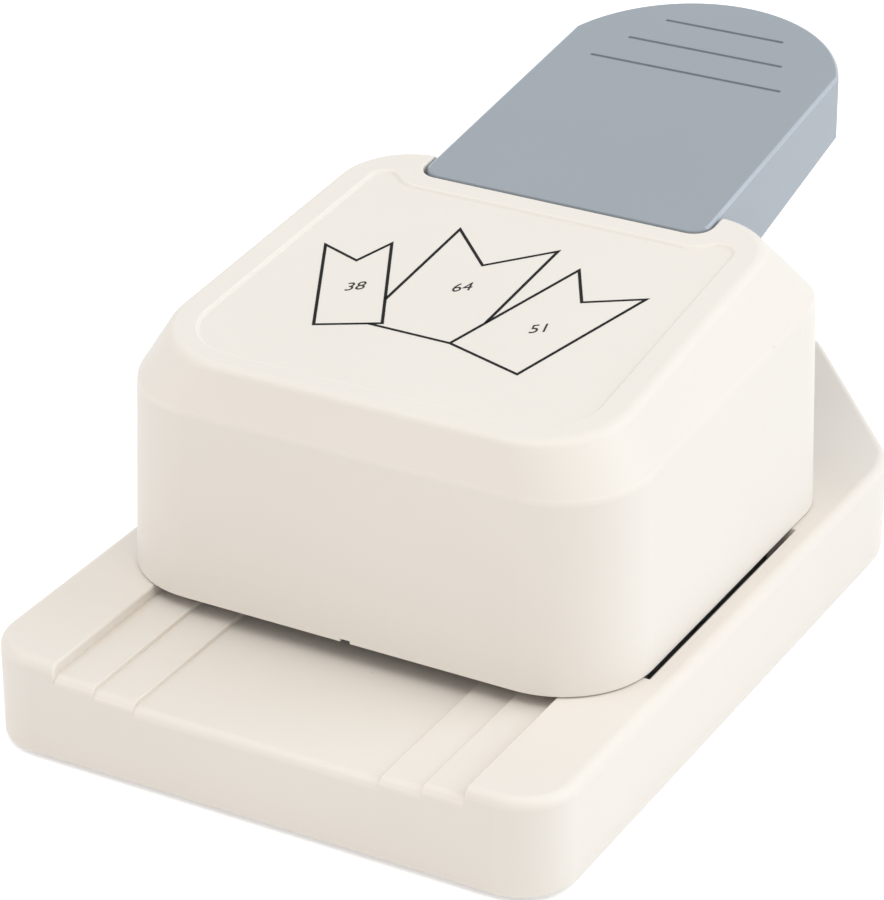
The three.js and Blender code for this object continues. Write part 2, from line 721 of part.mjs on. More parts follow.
// A post stands in the guide plate and has a groove for its retaining ring
function guidePost() {
  const low = rimLevel + CLIP_LIFT;
  const groove = ramTop + CLIP_LIFT;
  const top = groove + CLIP_THICKNESS + POST_TOP;
  const core = rodZ(POST_RADIUS - GROOVE_DEPTH, low + POST_TOP, top - POST_TOP / 2, 0, 0);
  const lower = rodZ(POST_RADIUS, low, groove - CLIP_GAP, 0, 0);
  const upper = rodZ(POST_RADIUS, groove + CLIP_THICKNESS + CLIP_GAP, top, 0, 0);
  return join([core, lower, upper]);
}

// A C-shaped retaining ring for a groove in a rod of the given radius
function retainingRing(rodRadius) {
  const inner = rodRadius - GROOVE_DEPTH + CLIP_GAP;
  const outer = rodRadius + CLIP_WIDTH;
  const ring = rodZ(outer, 0, CLIP_THICKNESS, 0, 0);
  const bore = rodZ(inner, -OVERRUN, CLIP_THICKNESS + OVERRUN, 0, 0);
  const mouthSize = { x: 2 * inner * RING_MOUTH_SHARE, y: 2 * outer, z: CLIP_THICKNESS + 2 * OVERRUN };
  const mouth = block(mouthSize, { x: 0, y: -outer, z: CLIP_THICKNESS / 2 });
  return cut(ring, [bore, mouth]);
}

class Helix extends THREE.Curve {
  constructor(radius, height, turns) {
    super();
    this.radius = radius;
    this.height = height;
    this.turns = turns;
  }

  getPoint(t, target = new THREE.Vector3()) {
    const angle = 2 * Math.PI * this.turns * t;
    return target.set(this.radius * Math.cos(angle), this.radius * Math.sin(angle), this.height * t);
  }
}

// The least clear distance between one turn of a coil and the next, measured on points of it
function leastGap(curve, turns, wire) {
  const points = curve.getPoints(Math.round(turns * GAP_POINTS_PER_TURN));
  let least = Infinity;
  points.forEach((p, i) => {
    for (let j = i + GAP_POINTS_PER_TURN / 2; j < points.length; j += 1) {
      least = Math.min(least, p.distanceTo(points[j]));
    }
  });
  return least - wire;
}

function returnSpring() {
  const low = SPRING_SEAT + SPRING_WIRE / 2;
  const height = ramUnderside - guideTop - 2 * low;
  const path = new Helix(SPRING_RADIUS, height, SPRING_TURNS);
  const section = [];
  for (let i = 0; i < WIRE_SIDES; i += 1) {
    const angle = (2 * Math.PI * i) / WIRE_SIDES;
    section.push(point((SPRING_WIRE / 2) * Math.cos(angle), (SPRING_WIRE / 2) * Math.sin(angle)));
  }
  const steps = Math.round(SPRING_TURNS * COIL_STEPS);
  const options = { steps, extrudePath: path, bevelEnabled: false };
  const coil = new THREE.ExtrudeGeometry(new THREE.Shape(section), options);
  console.log("spring gap between turns", leastGap(path, SPRING_TURNS, SPRING_WIRE).toFixed(2), "mm");
  return toSolid(coil.translate(0, 0, guideTop + low));
}

function ramPlate() {
  const shoulder = ramFront + RAM_NOSE;
  const outline = [
    point(-RAM_NOSE_HALF_WIDTH, ramFront),
    point(RAM_NOSE_HALF_WIDTH, ramFront),
    point(ramHalfWidth, shoulder),
    point(ramHalfWidth, ramRear),
    point(-ramHalfWidth, ramRear),
    point(-ramHalfWidth, shoulder),
  ];
  return cut(prismZ(outline, ramUnderside, ramTop), [
    ...pegs(postPlaces, BUSH_RADIUS + POST_FIT, ramUnderside - OVERRUN, ramTop + OVERRUN),
    ...holes(bladeScrewPlaces, SMALL_SCREW_RADIUS + SCREW_FIT, ramUnderside - OVERRUN, ramTop + OVERRUN),
  ]);
}

function guideBush() {
  const sleeve = rodZ(BUSH_RADIUS, ramUnderside, ramTop, 0, 0);
  return cut(sleeve, [rodZ(POST_RADIUS + BUSH_GAP, ramUnderside - OVERRUN, ramTop + OVERRUN, 0, 0)]);
}

// The blade's lower face is roofed, so that it cuts from both sides towards the middle
function punchBlade() {
  const blade = prismZ(bladeOutline(0), bladeTip, ramUnderside);
  const reach = bladeHalfWidth + OVERRUN;
  const roof = [
    point(-reach, bladeTip - OVERRUN),
    point(reach, bladeTip - OVERRUN),
    point(bladeHalfWidth, bladeTip),
    point(0, bladeTip + BLADE_SHEAR),
    point(-bladeHalfWidth, bladeTip),
  ];
  const bite = ramUnderside - BLADE_SCREW_BITE;
  return cut(blade, [
    prismY(roof, bladeApex - OVERRUN, bladeRear + OVERRUN),
    ...holes(bladeScrewPlaces, SMALL_SCREW_RADIUS + POST_FIT, bite, ramUnderside + OVERRUN),
  ]);
}

// Upper surface of the lever's handle at a place along Y
function leverTopAt(y) {
  return leverFrontLevel + (y - handleFront) * Math.tan(radians(LEVER_TILT_DEGREES));
}

// The handle's plan: straight front edge with rounded corners, tapering sides, round end
function handleOutline(inset) {
  const endRadius = leverRearHalf + LEVER_END_BULGE;
  const centreY = leverTip - endRadius;
  const radius = endRadius - inset;
  const side = leverRearHalf - inset;
  const start = Math.acos(side / radius);
  const end = { x: 0, y: centreY, radius, from: start, to: Math.PI - start, steps: REAR_STEPS };
  const cornerRadius = NOTCH_RADIUS - inset / 2;
  const front = { y: handleFront + inset, width: 2 * (leverFrontHalf - inset), radius: cornerRadius };
  const [right, , , left] = cornerArcs(front, front);
  return arcOutline([right, end, left]);
}

// Side view of the part inside the head: eye at the axle, waist, belly and the lower top face
function armProfile() {
  const rear = handleFront + 2 * NOTCH_RADIUS;
  return [
    point(axleY, axleLevel - EYE_RADIUS),
    point(axleY + EYE_RADIUS / 2, axleLevel - EYE_RADIUS),
    point(LEVER_WAIST_Y, waistLevel),
    point(ramRear, bellyLevel),
    point(rear, bellyLevel),
    point(rear, leverTopAt(rear) - LEVER_STEP),
    point(LEVER_WEB_FRONT, leverTopAt(LEVER_WEB_FRONT) - LEVER_STEP),
    point(axleY, axleLevel + EYE_RADIUS),
  ];
}

// Side view of the handle: belly, rising underside and the tilted top face
function handleProfile() {
  const belly = Math.tan(radians(LEVER_BELLY_DEGREES));
  const bellyY = leverTip - LEVER_BELLY_RISE / belly;
  const rear = leverTip + OVERRUN;
  return [
    point(handleFront, bellyLevel),
    point(bellyY, bellyLevel),
    point(rear, leverTipBottom + OVERRUN * belly),
    point(rear, leverTopAt(rear)),
    point(handleFront, leverTopAt(handleFront)),
  ];
}

// Side view of the space under the lever's top, which is open below and towards the axle
function leverHollowProfile() {
  const rear = leverTip + OVERRUN;
  const stepRear = handleFront + LEVER_TOP_WALL;
  const webTop = (y) => leverTopAt(y) - LEVER_STEP - LEVER_TOP_WALL;
  return [
    point(0, 0),
    point(rear, 0),
    point(rear, leverTopAt(rear) - LEVER_TOP_WALL),
    point(stepRear, leverTopAt(stepRear) - LEVER_TOP_WALL),
    point(stepRear, webTop(stepRear)),
    point(LEVER_WEB_FRONT, webTop(LEVER_WEB_FRONT)),
    point(LEVER_WEB_FRONT, FAR),
    point(0, FAR),
  ];
}

// A grip groove across the handle, lying in its tilted top face
function gripGroove(y, half) {
  const length = 2 * half;
  const geometry = new THREE.BoxGeometry(length, GRIP_WIDTH, 2 * GRIP_DEPTH);
  geometry.rotateX(radians(LEVER_TILT_DEGREES));
  return toSolid(geometry.translate(0, y, leverTopAt(y)));
}

function gripGrooves() {
  const lastY = leverTip - GRIP_SETBACK;
  const grooves = [];
  for (let i = 0; i < GRIP_COUNT; i += 1) {
    grooves.push(gripGroove(lastY - i * GRIP_SPACING, GRIP_LAST_HALF + i * GRIP_GROWTH));
  }
  return grooves;
}

// A lug under the lever's web that holds one end of the roller's pin
function rollerLug(side) {
  const inner = ROLLER_WIDTH / 2 + LUG_GAP;
  const outer = inner + LUG_WIDTH;
  const web = leverTopAt(rollerY) - LEVER_STEP - LEVER_TOP_WALL / 2;
  const sheet = [
    point(rollerY - LUG_RADIUS, rollerLevel),
    point(rollerY + LUG_RADIUS, rollerLevel),
    point(rollerY + LUG_RADIUS, web),
    point(rollerY - LUG_RADIUS, web),
  ];
  const left = side > 0 ? inner : -outer;
  const right = left + LUG_WIDTH;
  return join([prismX(sheet, left, right), rodX(LUG_RADIUS, left, right, rollerY, rollerLevel)]);
}

function leverEye(side) {
  const left = side > 0 ? leverFrontHalf - EYE_WIDTH : -leverFrontHalf;
  return rodX(EYE_RADIUS, left, left + EYE_WIDTH, axleY, axleLevel);
}

function lever() {
  const half = leverFrontHalf;
  const arms = prismX(armProfile(), -half, half);
  const handle = prismX(handleProfile(), -FAR, FAR).intersect(prismZ(handleOutline(0), 0, FAR));
  const outside = join([arms, handle]);
  const innerHollow = slab(half - LEVER_SIDE_WALL, 0, handleFront + 2 * NOTCH_RADIUS, 0, FAR);
  const hollowPlan = join([innerHollow, prismZ(handleOutline(LEVER_SIDE_WALL), 0, FAR)]);
  const hollow = prismX(leverHollowProfile(), -FAR, FAR).intersect(hollowPlan);
  const front = block({ x: FAR, y: FAR, z: FAR }, { x: 0, y: axleY - FAR / 2, z: axleLevel });
  const ends = [leverEye(-1), leverEye(1), rollerLug(-1), rollerLug(1)];
  const body = join([cut(outside, [hollow, front]), ...ends]);
  return cut(body, [
    rodX(AXLE_RADIUS + AXLE_FIT, -FAR, FAR, axleY, axleLevel),
    rodX(PIN_RADIUS + POST_FIT, -half, half, rollerY, rollerLevel, SMALL_SIDES),
    ...gripGrooves(),
  ]);
}

const clipInner = bracketOuter + CLIP_LIFT;

function leverAxle() {
  const end = clipInner + CLIP_THICKNESS + CLIP_WIDTH;
  const grooveStart = clipInner - CLIP_GAP;
  const grooveEnd = clipInner + CLIP_THICKNESS + CLIP_GAP;
  const coreHalf = grooveEnd + CLIP_WIDTH / 2;
  const core = rodX(AXLE_RADIUS - GROOVE_DEPTH, -coreHalf, coreHalf, 0, 0);
  const middle = rodX(AXLE_RADIUS, -grooveStart, grooveStart, 0, 0);
  const ends = [rodX(AXLE_RADIUS, grooveEnd, end, 0, 0), rodX(AXLE_RADIUS, -end, -grooveEnd, 0, 0)];
  return join([core, middle, ...ends]);
}

// A bracket with its foot on the guide plate and its eye round the axle
function axleBracket(side) {
  const upright = [
    point(axleY - bracketHalf, guideTop),
    point(axleY + bracketHalf, guideTop),
    point(axleY + BRACKET_HEAD_RADIUS, axleLevel),
    point(axleY - BRACKET_HEAD_RADIUS, axleLevel),
  ];
  const left = side > 0 ? bracketInner : -bracketOuter;
  const right = left + BRACKET_THICKNESS;
  const footLeft = side > 0 ? bracketInner - BRACKET_FOOT_WIDTH : -bracketInner;
  const footWidth = BRACKET_FOOT_WIDTH + BRACKET_THICKNESS / 2;
  const footSize = { x: footWidth, y: BRACKET_LENGTH, z: BRACKET_FOOT_THICKNESS };
  const footStart = side > 0 ? footLeft : footLeft - BRACKET_THICKNESS / 2;
  const footCentre = { x: footStart + footSize.x / 2, y: axleY, z: guideTop + BRACKET_FOOT_THICKNESS / 2 };
  const footTop = guideTop + BRACKET_FOOT_THICKNESS;
  const places = bracketScrewPlaces.filter(([x]) => x * side > 0);
  const body = join([
    prismX(upright, left, right),
    rodX(BRACKET_HEAD_RADIUS, left, right, axleY, axleLevel),
    block(footSize, footCentre),
  ]);
  return cut(body, [
    rodX(AXLE_RADIUS + AXLE_FIT, left - OVERRUN, right + OVERRUN, axleY, axleLevel),
    ...holes(places, SMALL_SCREW_RADIUS + SCREW_FIT, guideTop - OVERRUN, footTop + OVERRUN),
  ]);
}

function pressRoller() {
  const half = ROLLER_WIDTH / 2;
  const bore = rodX(PIN_RADIUS + AXLE_FIT, -half - OVERRUN, half + OVERRUN, 0, 0, SMALL_SIDES);
  return cut(rodX(ROLLER_RADIUS, -half, half, 0, 0), [bore]);
}

function rollerPin() {
  const reach = ROLLER_WIDTH / 2 + LUG_GAP + LUG_WIDTH + PIN_OVERHANG;
  return rodX(PIN_RADIUS, -reach, reach, 0, 0, SMALL_SIDES);
}

// The head's sloped faces: heights of the shoulder line and of the top at a place along Y
function shoulderAt(y) {
  return shoulderLevel + (y - HEAD_FRONT) * Math.tan(radians(SHOULDER_DEGREES));
}

function headTopAt(y) {
  return topLevel + (y - topFront) * Math.tan(radians(TOP_DEGREES));
}

function headWallArcs() {
  const width = 2 * headHalfWidth;
  const front = { y: HEAD_FRONT, width, radius: HEAD_FRONT_RADIUS };
  return cornerArcs(front, { y: headRear, width, radius: HEAD_REAR_RADIUS });
}

const topFrontHalf = headHalfWidth - TOP_FRONT_INSET;
const topRearHalf = headHalfWidth - TOP_REAR_INSET;

function headTopArcs() {
  const front = { y: topFront, width: 2 * topFrontHalf, radius: TOP_FRONT_RADIUS };
  return cornerArcs(front, { y: topRear, width: 2 * topRearHalf, radius: TOP_REAR_RADIUS });
}

function headOutside() {
  const wall = raise(arcOutline(headWallArcs()), () => headBottom);
  const shoulder = raise(arcOutline(headWallArcs(), HEAD_DRAFT), shoulderAt);
  const edge = raise(arcOutline(headTopArcs()), headTopAt);
  const inner = raise(arcOutline(headTopArcs(), TOP_FILLET * 2), headTopAt);
  return loft([
    wall,
    ...roundRings(wall, shoulder, edge, SHOULDER_FILLET, EDGE_STEPS),
    ...roundRings(shoulder, edge, inner, TOP_FILLET, EDGE_STEPS),
  ]);
}

// The hollow keeps the wall's thickness under the sloped bands and the top
function headHollow() {
  const shoulderDrop = HEAD_WALL * HOLLOW_SHOULDER_SHARE;
  const edgeInset = HEAD_WALL * HOLLOW_EDGE_SHARE;
  const wall = raise(arcOutline(headWallArcs(), HEAD_WALL), () => headBottom - OVERRUN);
  const shoulderOutline = arcOutline(headWallArcs(), HEAD_DRAFT + HEAD_WALL);
  const shoulder = raise(shoulderOutline, (y) => shoulderAt(y) - shoulderDrop);
  const edge = raise(arcOutline(headTopArcs(), edgeInset), (y) => headTopAt(y) - HEAD_WALL);
  return loft([wall, shoulder, edge]);
}

function leverNotch() {
  const front = { y: notchEdge, width: notchWidth, radius: NOTCH_RADIUS };
  const rear = { y: headRear + FAR, width: notchWidth, radius: NOTCH_RADIUS };
  return prismZ(arcOutline(cornerArcs(front, rear)), shoulderLevel, FAR);
}

function rearOpening() {
  const sill = { y: SILL_HEIGHT, width: notchWidth, radius: NOTCH_RADIUS };
  const outline = arcOutline(cornerArcs(sill, { ...sill, y: FAR }));
  return prismY(outline, headRear - HEAD_WALL - 2 * OVERRUN, headRear + OVERRUN);
}

// The shallow panel in the top, with an ear on each side of the lever's notch.
// It is drawn in the top's own plane, from the top's front edge.
function panelOutline() {
  const frontHalf = topFrontHalf - PANEL_MARGIN;
  const rearHalf = topRearHalf - PANEL_MARGIN;
  const rear = NOTCH_FRONT - PANEL_REAR_MARGIN;
  const earTip = rear + PANEL_EAR;
  const earInner = rearHalf - PANEL_EAR_WIDTH;
  const earMiddle = rearHalf - PANEL_EAR_WIDTH / 2;
  const earBend = rearHalf - PANEL_EAR;
  const earEnd = earTip - PANEL_EAR_DIP;
  const earFoot = earInner + PANEL_EAR_REACH;
  const radius = PANEL_FRONT_RADIUS;
  const arcX = frontHalf - radius;
  const arcY = PANEL_FRONT_MARGIN + radius;
  const shape = new THREE.Shape();
  shape.moveTo(0, PANEL_FRONT_MARGIN);
  shape.lineTo(arcX, PANEL_FRONT_MARGIN);
  shape.absarc(arcX, arcY, radius, -RIGHT_ANGLE, 0, false);
  shape.lineTo(rearHalf, rear);
  shape.bezierCurveTo(rearHalf, earTip, earBend, earTip, earMiddle, earEnd);
  shape.quadraticCurveTo(earFoot, rear, earInner, rear);
  shape.lineTo(-earInner, rear);
  shape.quadraticCurveTo(-earFoot, rear, -earMiddle, earEnd);
  shape.bezierCurveTo(-earBend, earTip, -rearHalf, earTip, -rearHalf, rear);
  shape.lineTo(-frontHalf, arcY);
  shape.absarc(-arcX, arcY, radius, 2 * RIGHT_ANGLE, 3 * RIGHT_ANGLE, false);
  return shape.getPoints(CORNER_STEPS);
}

function panelRecess() {
  const geometry = extrude(panelOutline(), PANEL_DEPTH + OVERRUN);
  geometry.translate(0, 0, -PANEL_DEPTH).rotateX(radians(TOP_DEGREES));
  return toSolid(geometry.translate(0, topFront, topLevel));
}

// A small mark in the middle of the front wall's lower edge
function centreMark() {
  const size = { x: CENTRE_MARK_WIDTH, y: 2 * HEAD_WALL, z: 2 * CENTRE_MARK_HEIGHT };
  return block(size, { x: 0, y: HEAD_FRONT, z: headBottom });
}

function headShell() {
  const bossTop = headBottom + HEAD_BOSS_HEIGHT;
  const boreTop = rimLevel + HEAD_SCREW_BITE + SCREW_FIT;
  const bosses = pegs(headScrewPlaces, HEAD_BOSS_RADIUS, headBottom, bossTop);
  const shell = join([cut(headOutside(), [headHollow()]), ...bosses]);
  return cut(shell, [
    leverNotch(),
    rearOpening(),
    panelRecess(),
    centreMark(),
    ...holes(headScrewPlaces, SCREW_RADIUS + SCREW_FIT, headBottom - OVERRUN, boreTop),
  ]);
}

// Groups of pieces, as they come apart on the bench
function placed(mesh, x, y, z) {
  mesh.position.set(x, y, z);
  return mesh;
}

function pair(name, places, build, material) {
  return places.map(([x, y], i) => placed(node(name + "_" + (i + 1), build(), material()), x, y, 0));
}

function baseGroup() {
  const group = new THREE.Group();
  const headScrewLength = rimLevel + HEAD_SCREW_BITE - headPostBottom;
  const bottomSeat = plateUnderside + SINK_DEPTH;
  const bottomScrewLength = plateTop - bottomSeat + BOTTOM_SCREW_BITE;
  group.add(node("base_shell", baseShell(), creamPlastic()));
  group.add(node("bottom_plate", bottomPlate(), darkPlastic()));
  group.add(...pair("foot", footPlaces, foot, rubber));
  group.add(...screwSet("head_screw", headScrewPlaces, SCREW_RADIUS, headScrewLength, headPostBottom, true));
  group.add(
    ...screwSet("bottom_screw", bottomScrewPlaces, SMALL_SCREW_RADIUS, bottomScrewLength, bottomSeat, true),
  );
  return group;
}

function dieGroup() {
  const group = new THREE.Group();
  const dieScrewLength = guideTop - dieUnderside - SCREW_SEAT * 2;
  group.add(node("die_plate", diePlate(), groundSteel()));
  group.add(node("spacer_frame", spacerFrame(), blackSteel()));
  group.add(node("guide_plate", guidePlate(), blackSteel()));
  group.add(...screwSet("die_screw", dieScrewPlaces, SMALL_SCREW_RADIUS, dieScrewLength, guideTop));
  group.add(...pair("guide_post", postPlaces, guidePost, groundSteel));
  group.add(...pair("return_spring", postPlaces, returnSpring, springSteel));
  postPlaces.forEach(([x, y], i) => {
    const ring = node("post_clip_" + (i + 1), retainingRing(POST_RADIUS), springSteel());
    group.add(placed(ring, x, y, ramTop + CLIP_LIFT));
  });
  return group;
}

function ramGroup() {
  const group = new THREE.Group();
  const bladeScrewLength = RAM_THICKNESS + BLADE_SCREW_BITE - 2 * SCREW_FIT;
  group.add(node("ram_plate", ramPlate(), blackSteel()));
  group.add(node("punch_blade", punchBlade(), groundSteel()));
  group.add(...pair("guide_bush", postPlaces, guideBush, bronze));
  group.add(...screwSet("blade_screw", bladeScrewPlaces, SMALL_SCREW_RADIUS, bladeScrewLength, ramTop));
  return group;
}

function leverGroup() {
  const group = new THREE.Group();
  group.add(node("lever", lever(), bluePlastic()));
  group.add(placed(node("press_roller", pressRoller(), groundSteel()), 0, rollerY, rollerLevel));
  group.add(placed(node("roller_pin", rollerPin(), zincSteel()), 0, rollerY, rollerLevel));
  return group;
}

function axleGroup() {
  const group = new THREE.Group();
  const screwLength = BRACKET_FOOT_THICKNESS + GUIDE_THICKNESS - 2 * SCREW_FIT;
  const seat = guideTop + BRACKET_FOOT_THICKNESS;
  group.add(placed(node("lever_axle", leverAxle(), groundSteel()), 0, axleY, axleLevel));
  group.add(node("axle_bracket_left", axleBracket(-1), blackSteel()));
  group.add(node("axle_bracket_right", axleBracket(1), blackSteel()));
  group.add(...screwSet("bracket_screw", bracketScrewPlaces, SMALL_SCREW_RADIUS, screwLength, seat));
  for (const side of [-1, 1]) {
    const name = side < 0 ? "axle_clip_left" : "axle_clip_right";
    const ring = node(name, retainingRing(AXLE_RADIUS), springSteel());
    ring.rotation.y = side * RIGHT_ANGLE;
    group.add(placed(ring, side * clipInner, axleY, axleLevel));
  }
  return group;
}

const machine = new THREE.Group();
machine.position.y = -baseLength / 2;
machine.add(baseGroup(), dieGroup(), ramGroup(), axleGroup(), leverGroup());
machine.add(node("head_shell", headShell(), creamPlastic()));

const labelPunch = new THREE.Group();
labelPunch.add(machine);

export default labelPunch;
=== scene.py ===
"""Label punch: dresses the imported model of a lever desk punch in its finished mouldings, print and metal.

Shapes are worked out in millimetres, with Y measured from the base's front face, as the machine stands
on the table. A finished shape is then moved into the frame, which is in metres and centred.
"""

import math

import bmesh
import bpy
from bpy.props import FloatProperty, FloatVectorProperty, IntProperty, PointerProperty
from mathutils import Matrix, Vector


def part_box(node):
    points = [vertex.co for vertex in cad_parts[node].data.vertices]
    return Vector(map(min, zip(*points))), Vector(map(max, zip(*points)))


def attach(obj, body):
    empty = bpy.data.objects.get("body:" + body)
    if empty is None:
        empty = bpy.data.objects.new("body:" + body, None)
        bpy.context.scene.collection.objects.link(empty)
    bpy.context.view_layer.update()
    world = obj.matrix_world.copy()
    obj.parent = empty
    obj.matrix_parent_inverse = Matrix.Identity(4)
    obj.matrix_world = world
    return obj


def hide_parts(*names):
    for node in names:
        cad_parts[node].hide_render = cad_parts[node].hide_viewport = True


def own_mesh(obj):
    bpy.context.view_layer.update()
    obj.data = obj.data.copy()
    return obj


bl_info = {
    "name": "Label Punch",
    "version": (1, 0, 0),
    "blender": (4, 5, 0),
    "location": "3D View > Sidebar > Label Punch",
    "description": "Builds the mouldings, print, screws and springs of a lever desk punch",
    "category": "Object",
}

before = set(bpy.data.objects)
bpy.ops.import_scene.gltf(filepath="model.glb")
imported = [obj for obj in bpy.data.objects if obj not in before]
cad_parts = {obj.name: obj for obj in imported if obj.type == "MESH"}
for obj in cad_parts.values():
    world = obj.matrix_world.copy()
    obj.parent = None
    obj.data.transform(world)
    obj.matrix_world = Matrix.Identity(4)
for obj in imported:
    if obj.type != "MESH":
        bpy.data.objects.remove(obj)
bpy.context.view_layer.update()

RIGHT = math.pi / 2
# How far a cutting tool reaches past the solid, a length beyond the machine, and how near is the same place
OVERRUN = 2.0
FAR = 200.0
NEAR = 0.05
# Points closer than this are one point
WELD = 0.002
# Edges that turn more than this are rounded, and edges that stay are shaded as corners from this turn on
ROUNDED_FROM = math.radians(30)
SHARP_FROM = math.radians(32)


# Places that the frame gives
def node_box(name):
    """Lower and upper corner of a CAD node, in millimetres, with Y from the base's front face"""
    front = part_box("base_shell")[0][1]
    return [tuple(round(1000 * value, 4) for value in (x, y - front, z)) for x, y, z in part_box(name)]


def node_middle(name):
    return [round((low + high) / 2, 4) for low, high in zip(*node_box(name))]


def numbered(start):
    """Names of the CAD nodes that are called by the start and a number"""
    return sorted(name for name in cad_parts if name.rsplit("_", 1)[0] == start)


def node_places(start):
    return [tuple(node_middle(name)[:2]) for name in numbered(start)]


HEAD_SCREWS = node_places("head_screw")
BOTTOM_SCREWS = node_places("bottom_screw")
AXLE = node_middle("lever_axle")
ROLLER_PIN = node_middle("roller_pin")
BASE_LOW, BASE_HIGH = node_box("base_shell")
FOOT_LOW, FOOT_HIGH = node_box("foot_1")


# Values a user may change
def length(size, about):
    return FloatProperty(
        description=about, default=size / 1000, min=0, precision=5, unit="LENGTH", subtype="DISTANCE"
    )


def angle(degrees, about):
    return FloatProperty(description=about, default=math.radians(degrees), subtype="ANGLE")


def number(value, about):
    return FloatProperty(description=about, default=value, min=0)


def count(value, about):
    return IntProperty(description=about, default=value, min=1)


def linear(level):
    share = level / 255
    return share / 12.92 if share <= 0.04045 else ((share + 0.055) / 1.055) ** 2.4


def colour(shade, about):
    default = tuple(linear(level) for level in shade)
    return FloatVectorProperty(description=about, size=3, min=0, max=1, subtype="COLOR", default=default)


def named(group):
    """Gives each property of a group the name that its key spells"""
    for key, value in group.__annotations__.items():
        value.keywords["name"] = key.replace("_", " ").title()
    return group


@named
class PunchBase(bpy.types.PropertyGroup):
    """Sizes of the base moulding"""

    width: length(BASE_HIGH[0] - BASE_LOW[0], "Across the base")
    length: length(BASE_HIGH[1] - BASE_LOW[1], "From the front face to the rear end")
    height: length(BASE_HIGH[2] - BASE_LOW[2], "From the lower edge to the rim")
    stand: length(BASE_LOW[2], "Space under the lower edge, held by the feet")
    wall: length(2.2, "Thickness of the side walls")
    deck: length(2.3, "Thickness under the deepest step of the channel")
    front_radius: length(8, "Plan radius of the front corners")
    side_radius: length(16, "Plan radius where the rear corners are cut")
    side_length: length(111.5, "Where the lines of the side and of the rear cut meet")
    rear_cut: angle(38.7, "Turn of the cut rear corners")
    edge_radius: length(1.5, "Rounding of the upper edge")
    lower_edge_radius: length(0.4, "Rounding of the lower edge")
    post_radius: length(3.8, "Radius of the posts for the head screws")
    post_length: length(4.6, "Length of the posts for the head screws")
    bottom_post_radius: length(3.55, "Radius of the posts for the bottom screws")


@named
class PunchChannel(bpy.types.PropertyGroup):
    """Sizes of the stepped paper channel, the well for the die and the side pockets"""

    wide: length(63.5, "Width of the upper step")
    middle: length(50.8, "Width of the middle step")
    narrow: length(38.1, "Width of the floor")
    rim_step: length(1.74, "Drop from the rim to the upper step")
    strip_step: length(0.69, "Drop from each step to the next")
    lip_radius: length(1.3, "Rounding of the floors at the front face")
    rim_radius: length(0.4, "Rounding of the rim along the channel")
    step_radius: length(0.16, "Rounding of the steps")
    well_half: length(37.3, "Half width of the opening for the die")
    well_front: length(39.7, "Front of the opening for the die")
    well_rear: length(86.3, "Rear of the opening for the die")
    well_wall: length(2.3, "Thickness of the chute's walls")
    ledge_width: length(3.3, "Width of the ledge that carries the die")
    ledge_top: length(8.38, "Level of the ledge")
    ledge_thickness: length(2.2, "Thickness of the ledge")
    chute_bottom: length(3.6, "Level of the chute's lower end")
    pocket_start: length(36, "Front end of the pockets along the head's side walls")
    pocket_end: length(84, "Rear end of the side pockets")
    pocket_front_ramp: length(6, "Length of the pocket's sloping front end")
    pocket_rear_ramp: length(2.5, "Length of the pocket's sloping rear end")
    pocket_inner: length(37, "Inner side of each pocket, from the middle")
    pocket_outer: length(40.75, "Outer side of each pocket, from the middle")
    pocket_depth: length(1.5, "Depth of the pockets below the channel's deepest step")


@named
class PunchHead(bpy.types.PropertyGroup):
    """Sizes of the head moulding"""

    width: length(80.3, "Across the head at its lower edge")
    front: length(24.2, "Place of the front wall")
    length: length(75.6, "From the front wall to the rear wall")
    front_radius: length(14, "Plan radius of the front corners")
    rear_radius: length(11, "Plan radius of the rear corners")
    draft: length(1, "How far the walls lean in up to the shoulder")
    wall: length(2, "Thickness of the walls")
    seam: length(0.2, "Gap over the base's rim")
    lower_edge: length(0.15, "Rounding of the lower edge")
    shoulder_height: length(44.6, "Height of the shoulder at the front wall")
    shoulder_slope: angle(3.4, "Rise of the shoulder towards the rear")
    shoulder_fillet: length(0.5, "Reach of the rounding at the shoulder")
    top_height: length(51.8, "Height of the top at its front edge")
    top_slope: angle(5.6, "Rise of the top towards the rear")
    top_front: length(27.4, "Place of the top's front edge")
    top_length: length(65.2, "Length of the top")
    top_front_width: length(69.8, "Width of the top in front")
    top_rear_width: length(67.2, "Width of the top at the rear")
    top_front_radius: length(13, "Plan radius of the top's front corners")
    top_rear_radius: length(10.7, "Plan radius of the top's rear corners")
    top_fillet: length(1.0, "Reach of the rounding round the top")
    notch_front: length(59.3, "Distance of the lever's notch up the slope")
    notch_width: length(46.9, "Width of the lever's notch")
    notch_radius: length(3, "Corner radius of the lever's notch")
    notch_edge: length(0.35, "Rounding of the edge round the notch")
    sill: length(23, "Height of the rear opening's lower edge")
    boss_radius: length(3.4, "Radius of the screw bosses")
    boss_height: length(16.4, "Height of the screw bosses")
    bore_depth: length(13.9, "Depth of the bores in the screw bosses")


@named
class PunchPanel(bpy.types.PropertyGroup):
    """Sizes of the shallow panel and the centre mark"""

    depth: length(0.4, "Depth of the panel")
    side_margin: length(4, "From the top's side edges")
    front_margin: length(3.5, "From the top's front edge")
    rear_margin: length(3.4, "In front of the lever's notch")
    front_radius: length(9, "Radius of the panel's front corners")
    ear: length(3, "How far each ear runs back")
    ear_width: length(8, "Width of each ear")
    ear_dip: length(1, "Drop from the ear's tip to its inner side")
    ear_reach: length(2, "Reach of the ear's inner bend")
    slope: length(0.45, "Width of the panel's sloping edge")
    edge: length(0.15, "Rounding of the panel's edge")
    mark_width: length(1.6, "Width of the centre mark")
    mark_height: length(0.5, "Height of the centre mark")


